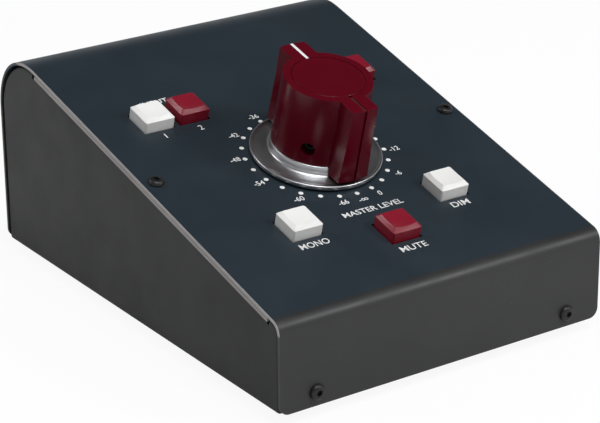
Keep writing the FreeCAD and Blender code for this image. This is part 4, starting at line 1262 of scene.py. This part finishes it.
@dataclass
class LevelKnob:
    """The winged knob, its disc, pointer and grub screw, and the spun skirt under it."""

    shop: Workshop
    top: float = 31.1
    foot: float = 5.5
    top_radius: float = 15.4
    foot_radius: float = 16.1
    reach: float = 22.6
    wing_width: float = 10.2
    wing_foot: float = 3.3
    tip_flare: float = 0.9
    root_flare: float = 1.2
    flare_top: float = 20.0
    boss: float = 7.6
    disc_radius: float = 12.4
    disc_gap: float = 0.25
    disc_height: float = 1.2
    line_width: float = 1.0
    pointer_width: float = 1.1
    line_depth: float = 0.6
    grub_angle: float = 220.7
    grub_height: float = 11.2
    grub_hole: float = 2.5
    collar: float = 16.4
    collar_gap: float = 0.6
    edge_round: float = 0.22
    disc_round: float = 0.14
    facets: int = 160
    reach_facets: int = 256

    def build(self) -> None:
        """Make every piece that turns with the knob and shows."""
        self.build_shell()
        self.build_disc()
        self.build_pointer()
        self.build_grub()
        self.build_skirt()

    def wing(self, sense: int) -> bpy.types.Object:
        """One wing, spread towards its foot.

        Args:
            sense: 1 for the rear wing, -1 for the front one.

        Returns:
            The wing as a closed block.
        """
        half = self.wing_width / 2
        inner, outer = self.boss, self.reach + 2 * OVER
        near = 0.1
        ends = sorted((sense * inner, sense * outer))
        wing = block("wing", (-half, ends[0], self.flare_top), (half, ends[1], self.top))
        with Shaper(wing) as shaper:
            shaper.faces(lambda c, n: n.z < -SQUARE)
            bpy.ops.mesh.extrude_region_move(
                TRANSFORM_OT_translate={"value": (0, 0, self.wing_foot - self.flare_top)})
            for place, flare in ((inner, self.root_flare), (outer, self.tip_flare)):
                shaper.corners(lambda c: c.z < self.wing_foot + near and abs(abs(c.y) - place) < near)
                ratio = (half + flare) / half
                bpy.ops.transform.resize(value=(ratio, 1.0, 1.0), center_override=(0, 0, 0))
        return wing

    def line_cutter(self, width: float, sense: int) -> bpy.types.Object:
        """A cutter for the line along a wing's top and down its end.

        Args:
            width: the line's width.
            sense: 1 for the rear wing, -1 for the front one.

        Returns:
            The cutter.
        """
        near, far, lap = self.disc_radius, self.reach, 0.2
        ends = sorted((sense * (near - lap), sense * (far + OVER)))
        top = block("line_top", (-width / 2, ends[0], self.top - self.line_depth),
                    (width / 2, ends[1], self.top + OVER))
        ends = sorted((sense * (far - self.line_depth), sense * (far + OVER)))
        down = block("line_end", (-width / 2, ends[0], -OVER / 2), (width / 2, ends[1], self.top + OVER / 2))
        return combine(top, down, "UNION")

    def build_shell(self) -> bpy.types.Object:
        """Mould a round body with two wings, lines cut in both and a hole over the grub screw.

        Returns:
            The moulding, handed over.
        """
        floor = self.top - self.disc_height
        recess = self.disc_radius + self.disc_gap
        shell = turned("knob_moulding", [(self.foot_radius, self.foot), (self.top_radius, self.top)],
                       segments=self.facets)
        for sense in (1, -1):
            combine(shell, self.wing(sense), "UNION")
        combine(shell, bar("reach", self.reach, 0.0, self.top + OVER, sides=self.reach_facets), "INTERSECT")
        collar_room = self.collar + self.collar_gap
        combine(shell, bar("collar_room", collar_room, -OVER, self.foot, sides=self.facets), "DIFFERENCE")
        combine(shell, bar("disc_room", recess, floor, self.top + OVER, sides=self.facets), "DIFFERENCE")
        combine(shell, self.line_cutter(self.line_width, -1), "DIFFERENCE")
        combine(shell, self.line_cutter(self.pointer_width, 1), "DIFFERENCE")
        hole = placed(bar("grub_room", self.grub_hole, self.boss, self.reach), self.grub_frame())
        combine(shell, hole, "DIFFERENCE")
        soften(shell, self.edge_round, segments=3, angle=28.0)
        placed(shell, PANEL.matrix())
        return self.shop.hand_over(shell, "knob", Slot.KNOB, ["knob_shell"])

    def grub_frame(self) -> Matrix:
        """The grub screw's axis, from the knob's axis outwards, in millimetres."""
        turn = Matrix.Rotation(math.radians(self.grub_angle), 4, "Z")
        return Matrix.Translation((0, 0, self.grub_height)) @ turn @ Matrix.Rotation(math.pi / 2, 4, "Y")

    def build_disc(self) -> bpy.types.Object:
        """Make the disc let into the knob's top.

        Returns:
            The disc, handed over.
        """
        low = self.top - self.disc_height
        disc = turned("knob_disc", [(self.disc_radius, low), (self.disc_radius, self.top)],
                      segments=self.facets)
        soften(disc, self.disc_round, segments=3)
        placed(disc, PANEL.matrix())
        return self.shop.hand_over(disc, "knob", Slot.KNOB, ["knob_cap_disc"])

    def build_pointer(self) -> bpy.types.Object:
        """The white line let into the rear wing."""
        line = refined("pointer_line", "pointer_inlay", width=0.04)
        return self.shop.hand_over(line, "knob", Slot.INK, ["pointer_line"])

    def build_grub(self) -> bpy.types.Object:
        """Make the grub screw in its hole, with a hexagon socket.

        Returns:
            The screw, handed over.
        """
        radius, start, end = 2.0, 7.9, 12.9
        point, chamfer, chamfer_length = 0.5, 0.35, 0.4
        socket_radius, socket_depth = 1.15, 2.0
        screw = turned("grub", [(radius - point, start), (radius, start + point),
                                (radius, end - chamfer_length), (radius - chamfer, end)], segments=48)
        socket = bar("socket", socket_radius, end - socket_depth, end + OVER, sides=6)
        combine(screw, socket, "DIFFERENCE")
        soften(screw, width=0.05, angle=35.0)
        placed(screw, PANEL.matrix() @ self.grub_frame())
        return self.shop.hand_over(screw, "knob", Slot.SCREW, ["grub_screw"])

    def build_skirt(self) -> bpy.types.Object:
        """Spin the dished skirt from sheet, with a rolled rim.

        Returns:
            The skirt, handed over.
        """
        rim, rim_low, rim_high, sheet = 23.0, 0.7, 2.2, 1.0
        base, hub, edge = 3.0, 8.6, 0.2
        under_rim = ((2.6, 0.3), (1.2, 0.0), (0.25, 0.0), (0.07, 0.07), (0.0, 0.3))
        over_rim = ((0.0, 0.35), (0.1, 0.1), (0.35, 0.0), (0.75, 0.0), (1.0, 0.12), (1.15, 0.4), (1.5, 0.5),
                    (2.6, 0.35))
        dish = ((3.0, 0.98), (1.4, 0.9), (0.5, 0.6), (0.1, 0.2))
        profile = [(hub, self.foot - sheet), (self.collar - sheet, self.foot - sheet),
                   (self.collar - sheet, base - sheet)]
        profile += [(rim - inward, rim_low + upward) for inward, upward in under_rim]
        profile += [(rim - inward, rim_high - downward) for inward, downward in over_rim]
        profile += [(self.collar + outward, base - downward) for outward, downward in dish]
        profile += [(self.collar, base + edge), (self.collar, self.foot - edge),
                    (self.collar - edge, self.foot), (hub, self.foot)]
        skirt = turned("spun_skirt", profile, Ends.LOOP, segments=192)
        pick_only(skirt)
        bpy.ops.object.shade_smooth_by_angle(angle=math.radians(50.0))
        placed(skirt, PANEL.matrix())
        return self.shop.hand_over(skirt, "knob", Slot.SPUN, ["knob_skirt"])


@dataclass
class ButtonCap:
    """A square cap: upright sides, four bevels and a dished top."""

    shop: Workshop
    width: float = 11.4
    skirt: float = 4.0
    side: float = 3.7
    top: float = 5.1
    bevel: float = 1.4
    edge: float = 0.6
    corner_facets: int = 5
    wall: float = 1.2
    hollow: float = 2.0
    dish: float = 0.55
    dish_radius: float = 32.0
    dish_share: float = 0.78
    dish_rings: int = 14
    edge_round: float = 0.12

    def pattern(self) -> bpy.types.Object:
        """Model one cap in millimetres, centred on its own axis.

        Returns:
            The cap.
        """
        half, level = self.width / 2, 0.1
        cap = block("cap_pattern", (-half, -half, -self.skirt), (half, half, self.side))
        with Shaper(cap) as shaper:
            shaper.faces(lambda c, n: n.z > SQUARE)
            bpy.ops.mesh.extrude_region_move(TRANSFORM_OT_translate={"value": (0, 0, self.top - self.side)})
            ratio = (half - self.bevel) / half
            bpy.ops.transform.resize(value=(ratio, ratio, 1.0), center_override=(0, 0, 0))
            shaper.edges(lambda a, b: abs(a.z - b.z) > level and a.x * b.x > 0 and a.y * b.y > 0)
            bpy.ops.mesh.bevel(offset=self.edge, segments=self.corner_facets, affect="EDGES")
            shaper.faces(lambda c, n: n.z < -SQUARE)
            bpy.ops.mesh.inset(thickness=self.wall)
            bpy.ops.mesh.extrude_region_move(
                TRANSFORM_OT_translate={"value": (0, 0, self.skirt + self.hollow)})
        combine(cap, self.dish_cutter(), "DIFFERENCE")
        return soften(cap, self.edge_round, angle=14.0)

    def dish_cutter(self) -> bpy.types.Object:
        """A shallow bowl that hollows the cap's top.

        Returns:
            The cutter.
        """
        widest = math.asin(self.width * self.dish_share / self.dish_radius)
        profile = []
        for step in range(1, self.dish_rings + 1):
            turn = widest * step / self.dish_rings
            profile.append((self.dish_radius * math.sin(turn),
                            self.top - self.dish + self.dish_radius * (1.0 - math.cos(turn))))
        profile.append((profile[-1][0], self.top + 4 * OVER))
        return turned("dish", profile, segments=96)

    def build(self) -> None:
        """Copy the cap to each button's place."""
        pattern = self.pattern()
        for name, slot in CAP_COLOURS.items():
            cap = twin(pattern, name + "_key", PANEL.matrix(*PANEL.seat(name + "_cap")))
            self.shop.hand_over(cap, name + "_button", slot, [name + "_cap"])
        scrap(pattern)


@dataclass
class RearJacks:
    """The eight jacks: moulded blocks, threaded noses, washers and nuts."""

    shop: Workshop
    case: Case
    width: float = 15.0
    depth: float = 23.0
    nose: float = 3.6
    nose_end: tuple[tuple[float, float], ...] = ((0.35, 0.15), (0.6, 0.0))
    thread: float = 5.2
    thread_depth: float = 0.3
    thread_start: float = 0.9
    thread_stop: float = 0.4
    thread_play: float = 0.05
    bore: float = 3.25
    bore_depth: float = 26.0
    bore_facets: int = 48
    nut_width: float = 14.0
    nut_height: float = 2.2
    nut_step: float = 17.0
    washer_radius: float = 7.4
    washer_height: float = 0.5
    thread_pitch: float = 0.75

    def body(self) -> bpy.types.Object:
        """One jack: a block behind the wall and a ribbed nose with its bore.

        Returns:
            The jack in millimetres, its nose upwards.
        """
        inside = -self.case.sheet
        half, funnel, lap = self.width / 2, 0.5, 0.1
        shell = block("jack_block", (-half, -half, inside - self.depth), (half, half, inside))
        root = self.thread - self.thread_depth
        profile = [(root, inside - OVER)]
        height = self.thread_start
        while height < self.nose - self.thread_stop:
            profile += [(root, height), (self.thread, height + self.thread_pitch / 2)]
            height += self.thread_pitch
        profile += [(self.thread - inward, self.nose - downward) for inward, downward in self.nose_end]
        nose = turned("jack_nose", profile, segments=64)
        combine(shell, nose, "UNION")
        combine(shell, bar("jack_bore", self.bore, self.nose - self.bore_depth, self.nose + OVER,
                           sides=self.bore_facets), "DIFFERENCE")
        mouth = turned("jack_mouth", [(self.bore - lap, self.nose - funnel),
                                      (self.bore + funnel, self.nose + lap),
                                      (self.bore + funnel, self.nose + OVER)], segments=self.bore_facets)
        combine(shell, mouth, "DIFFERENCE")
        return soften(shell, width=0.1, angle=35.0)

    def nut(self) -> bpy.types.Object:
        """One hexagon nut with its corners turned off.

        Returns:
            The nut in millimetres, on the wall's plane.
        """
        low, high = self.washer_height, self.washer_height + self.nut_height
        nut = bar("jack_nut", self.nut_width / math.sqrt(3), low, high, sides=6)
        corner = self.nut_width / math.sqrt(3)
        slope, inset, lap = 1.0, 0.2, 0.01
        turned_off = turned("nut_turning", [(corner + OVER, low - OVER / 2), (corner + OVER, high - slope),
                                            (self.nut_width / 2 - inset, high + lap)], segments=96)
        combine(nut, turned_off, "INTERSECT")
        combine(nut, bar("nut_hole", self.thread + self.thread_play, low - OVER, high + OVER), "DIFFERENCE")
        return soften(nut, width=0.12, angle=25.0)

    def washer(self) -> bpy.types.Object:
        """One flat washer with a broken edge.

        Returns:
            The washer in millimetres, on the wall's plane.
        """
        inner, outer = self.thread + self.thread_play, self.washer_radius
        high, edge = self.washer_height, 0.12
        profile = [(inner, 0.0), (outer - edge, 0.0), (outer, edge), (outer, high - edge),
                   (outer - edge, high), (inner, high)]
        washer = turned("jack_washer", profile, Ends.LOOP, segments=96)
        return soften(washer, width=0.03)

    def build(self) -> None:
        """Copy the jack to its eight places."""
        rearward = Vector((0, 1, 0))
        body, nut, washer = self.body(), self.nut(), self.washer()
        rows = {"output_jacks": self.case.jack_levels[0], "input_jacks": self.case.jack_levels[1]}
        places = {row: [facing(rearward, Vector((x * MM, self.case.high.y, z * MM)))
                        for x in self.case.jack_columns] for row, z in rows.items()}
        for row, matrices in places.items():
            members = [twin(body, row, matrix) for matrix in matrices]
            self.shop.hand_over(joined(row + "_moulding", members), "case", Slot.BLACK, [row])
        every = [matrix for matrices in places.values() for matrix in matrices]
        nuts = []
        for index, matrix in enumerate(every):
            turn = Matrix.Rotation(math.radians(self.nut_step * index), 4, "Z")
            nuts.append(twin(nut, "nut", matrix @ turn))
        self.shop.hand_over(joined("jack_nut_set", nuts), "case", Slot.NICKEL, ["jack_nuts"])
        washers = [twin(washer, "washer", matrix) for matrix in every]
        self.shop.hand_over(joined("jack_washer_set", washers), "case", Slot.NICKEL, ["jack_washers"])
        scrap(body, nut, washer)


@dataclass
class Markings:
    """Dots, dial numbers and button names printed on the panel."""

    shop: Workshop
    ink: float = 0.03
    dot_circle: float = 25.3
    dot_radius: float = 0.85
    steps: int = 24
    step_level: int = 3
    number_circle: float = 28.9
    number_height: float = 2.45
    names: tuple[tuple[str, float, float, float, float], ...] = (
        ("MASTER LEVEL", 0.0, -34.5, 2.6, 24.2),
        ("INPUT", -35.25, 48.6, 2.7, 10.6),
        ("1", -42.3, 29.0, 2.8, 0.0),
        ("2", -28.2, 29.0, 2.8, 0.0),
        ("OUTPUT", 35.25, 48.6, 2.7, 13.4),
        ("1", 28.2, 29.0, 2.8, 0.0),
        ("2", 42.3, 29.0, 2.8, 0.0),
        ("MONO", -29.9, -43.9, 2.9, 11.3),
        ("MUTE", 0.0, -57.9, 2.9, 10.4),
        ("DIM", 29.9, -43.6, 2.9, 7.2),
    )
    narrowing: float = 0.92
    capital: float = 0.729
    boldness: float = 0.006
    curve_steps: int = 4
    shoulder: float = 0.6
    lift: float = 0.4

    def build(self) -> None:
        """Print everything on the panel."""
        self.build_dots()
        self.build_numbers()
        self.build_names()

    def angle(self, index: int) -> float:
        """A dot's angle, clockwise from the front."""
        return 2.0 * math.pi * index / self.steps

    def build_dots(self) -> bpy.types.Object:
        """Print one dot for each step of the level switch.

        Returns:
            The dots, handed over.
        """
        edge = 0.1
        pattern = turned("dot_pattern", [(self.dot_radius, -self.ink / 2),
                                         (self.dot_radius, self.ink * self.shoulder),
                                         (self.dot_radius - edge, self.ink)], segments=28)
        dots = []
        for index in range(self.steps):
            angle = self.angle(index)
            dots.append(twin(pattern, "dot", PANEL.matrix(-self.dot_circle * math.sin(angle),
                                                          -self.dot_circle * math.cos(angle))))
        scrap(pattern)
        return self.shop.hand_over(joined("dial_dots", dots), "case", Slot.INK)

    def lettering(self, text: str, x: float, v: float, height: float, width: float) -> bpy.types.Object:
        """One word or number, centred on a place of the panel.

        Args:
            text: the word.
            x: millimetres across.
            v: millimetres up the slope.
            height: height of its capitals.
            width: its width, or 0 for the lettering's own.

        Returns:
            The word as a mesh.
        """
        bpy.ops.object.select_all(action="DESELECT")
        bpy.ops.object.text_add()
        piece = bpy.context.active_object
        piece.data.body = text
        piece.data.size = 1.0
        piece.data.resolution_u = self.curve_steps
        piece.data.offset = self.boldness
        piece.data.extrude = 0.5
        pick_only(piece)
        bpy.ops.object.convert(target="MESH")
        corners = [corner.co for corner in piece.data.vertices]
        low = Vector([min(c[i] for c in corners) for i in range(3)])
        high = Vector([max(c[i] for c in corners) for i in range(3)])
        tall = height / self.capital
        wide = width / (high.x - low.x) if width else tall * self.narrowing
        centre = Matrix.Translation((-(low.x + high.x) / 2, -self.capital / 2, 0.0))
        stretch = Matrix.Diagonal((wide, tall, self.ink, 1.0))
        placed(piece, PANEL.matrix(x, v, self.ink * self.lift) @ stretch @ centre)
        with Shaper(piece) as shaper:
            shaper.everything()
            bpy.ops.mesh.remove_doubles(threshold=FINE_MERGE)
            bpy.ops.mesh.normals_make_consistent(inside=False)
        return piece

    def build_numbers(self) -> bpy.types.Object:
        """Print levels at the first dot and at every second one after it.

        Returns:
            The numbers, handed over.
        """
        words = []
        for index in [0] + list(range(1, self.steps, 2)):
            level = (index - self.steps + 1) * self.step_level
            text = "-∞" if index == 0 else str(level)
            angle = self.angle(index)
            words.append(self.lettering(text, -self.number_circle * math.sin(angle),
                                        -self.number_circle * math.cos(angle), self.number_height, 0.0))
        return self.shop.hand_over(joined("dial_numbers", words), "case", Slot.INK)

    def build_names(self) -> bpy.types.Object:
        """The names of the controls."""
        words = [self.lettering(*row) for row in self.names]
        return self.shop.hand_over(joined("control_names", words), "case", Slot.INK)


@dataclass
class Inside:
    """Inner pieces that a gap or hole may show, with softened edges."""

    shop: Workshop

    def build(self) -> None:
        """Refine the plungers, the switch hardware and the boards."""
        for name in CAP_COLOURS:
            plunger = refined(name + "_plunger", name + "_stem", width=0.15)
            self.shop.hand_over(plunger, name + "_button", Slot.BLACK, [name + "_plunger"])
        for node, slot, width in (("switch_nut", Slot.ZINC, 0.15), ("switch_washer", Slot.ZINC, 0.06),
                                  ("switch_housings", Slot.BLACK, 0.25), ("control_board", Slot.BOARD, 0.1),
                                  ("jack_board", Slot.BOARD, 0.1)):
            self.shop.hand_over(refined(node, node + "_finished", width), "case", slot, [node])


@dataclass(frozen=True)
class Camera:
    """The photograph's view, with an image 600 pixels wide.

    Attributes:
        place: the camera in metres.
        azimuth: degrees from the front, towards the object's right.
        elevation: degrees above the floor.
        roll: degrees.
        focal: focal length in pixels.
        image_width: the image's width in pixels.
        nearest: metres from the camera to the first thing that shows.
    """

    place: tuple[float, float, float] = (-0.44187, -0.65451, 0.35039)
    azimuth: float = -34.3116
    elevation: float = 22.2132
    roll: float = -0.5181
    focal: float = 2434.1
    image_width: float = 600.0
    nearest: float = 0.01

    def build(self) -> bpy.types.Object:
        """Set the scene's camera.

        Returns:
            The camera.
        """
        azimuth, elevation, roll = (math.radians(a) for a in (self.azimuth, self.elevation, self.roll))
        back = Vector((math.sin(azimuth) * math.cos(elevation), -math.cos(azimuth) * math.cos(elevation),
                       math.sin(elevation)))
        right = (-back).cross(Vector((0, 0, 1))).normalized()
        up = right.cross(-back)
        across = math.cos(roll) * right + math.sin(roll) * up
        upward = -math.sin(roll) * right + math.cos(roll) * up
        data = bpy.data.cameras.new("photo_camera")
        data.sensor_fit = "HORIZONTAL"
        data.lens = self.focal / self.image_width * data.sensor_width
        data.clip_start = self.nearest
        camera = bpy.data.objects.new("photo_camera", data)
        bpy.context.scene.collection.objects.link(camera)
        turn = Matrix((across, upward, back)).transposed().to_4x4()
        camera.matrix_world = Matrix.Translation(self.place) @ turn
        bpy.context.scene.camera = camera
        return camera


@dataclass(frozen=True)
class Lamp:
    """A soft square lamp aimed at the object."""

    name: str
    place: tuple[float, float, float]
    size: float
    power: float
    aim_height: float = 0.04

    def build(self) -> bpy.types.Object:
        """Hang the lamp.

        Returns:
            The lamp.
        """
        data = bpy.data.lights.new(self.name, "AREA")
        data.shape = "SQUARE"
        data.size = self.size
        data.energy = self.power
        lamp = bpy.data.objects.new(self.name, data)
        bpy.context.scene.collection.objects.link(lamp)
        aim = Vector((0, 0, self.aim_height)) - Vector(self.place)
        turn = aim.to_track_quat("-Z", "Y").to_matrix().to_4x4()
        lamp.matrix_world = Matrix.Translation(self.place) @ turn
        return lamp


@dataclass
class Studio:
    """A pale floor, soft lamps and a white surround."""

    floor_size: float = 12.0
    floor_colour: Colour = (0.85, 0.85, 0.85)
    floor_glow: float = 0.92
    white: Colour = (1.0, 1.0, 1.0)
    ambient: float = 0.25
    ceiling: float = 0.04
    ceiling_range: tuple[float, float] = (0.05, 0.5)
    lamps: tuple[Lamp, ...] = (
        Lamp("overhead", (-0.05, -0.45, 1.2), 0.6, 9.3),
        Lamp("front_key", (0.72, -0.80, 0.86), 0.3, 6.0),
        Lamp("rear_left", (-0.75, 0.65, 0.88), 0.3, 3.4),
    )

    def build(self) -> None:
        """Set up the floor, the lamps, the surround and the camera."""
        self.build_floor()
        self.build_world()
        for lamp in self.lamps:
            lamp.build()
        Camera().build()
        bpy.context.scene.view_settings.view_transform = "Standard"

    def build_floor(self) -> bpy.types.Object:
        """Lay a wide pale floor that keeps the object's shadow.

        Returns:
            The floor.
        """
        bpy.ops.object.select_all(action="DESELECT")
        bpy.ops.mesh.primitive_plane_add(size=self.floor_size, location=(0, 0, CAD_BOX[0].z))
        floor = take_new("floor")
        material = bpy.data.materials.new("pale_floor")
        material.use_nodes = True
        material.node_tree.nodes.clear()
        graph = Graph(material.node_tree)
        matte = graph.feed(graph.add("ShaderNodeBsdfDiffuse"), Color=opaque(self.floor_colour))
        glow = graph.feed(graph.add("ShaderNodeEmission"), Color=opaque(self.white), Strength=1.0)
        mix = graph.add("ShaderNodeMixShader")
        camera_ray = graph.add("ShaderNodeLightPath").outputs["Is Camera Ray"]
        seen = graph.reckon("MULTIPLY", camera_ray, self.floor_glow)
        for index, socket in enumerate((seen, matte.outputs["BSDF"], glow.outputs["Emission"])):
            graph.tree.links.new(socket, mix.inputs[index])
        graph.feed(graph.add("ShaderNodeOutputMaterial"), Surface=mix.outputs["Shader"])
        floor.data.materials.append(material)
        return floor

    def build_world(self) -> None:
        """A surround that is white to the camera and in reflections, up to a dim ceiling."""
        world = bpy.data.worlds.new("surround")
        bpy.context.scene.world = world
        world.use_nodes = True
        world.node_tree.nodes.clear()
        graph = Graph(world.node_tree)
        rays = graph.add("ShaderNodeLightPath").outputs
        split = graph.add("ShaderNodeSeparateXYZ")
        graph.feed(split, Vector=graph.add("ShaderNodeTexCoord").outputs["Generated"])
        ceiling = graph.ramp(split.outputs["Z"], *self.ceiling_range, 1.0, self.ceiling)
        mirror = graph.reckon("MAXIMUM", rays["Is Glossy Ray"], rays["Is Transmission Ray"])
        lighting = graph.reckon("MULTIPLY", graph.reckon("SUBTRACT", 1.0, mirror), self.ambient)
        seen = graph.reckon("MAXIMUM", rays["Is Camera Ray"], graph.reckon("MULTIPLY", mirror, ceiling))
        strength = graph.reckon("MAXIMUM", seen, lighting)
        shade = graph.feed(graph.add("ShaderNodeBackground"), Color=opaque(self.white), Strength=strength)
        graph.feed(graph.add("ShaderNodeOutputWorld"), Surface=shade.outputs["Background"])


def main() -> None:
    """Build the object piece by piece, then the studio round it."""
    logging.basicConfig(level=logging.INFO, format="%(message)s")
    effects = Effects.build()
    shop = Workshop({slot: finish.build(slot.value, effects) for slot, finish in finishes().items()})
    shop.dress_frame()
    case = Case(shop)
    case.build()
    LevelKnob(shop).build()
    ButtonCap(shop).build()
    RearJacks(shop, case).build()
    Markings(shop).build()
    Inside(shop).build()
    Studio().build()
    LOG.info("%d pieces", shop.count)


if __name__ == "__main__":
    main()
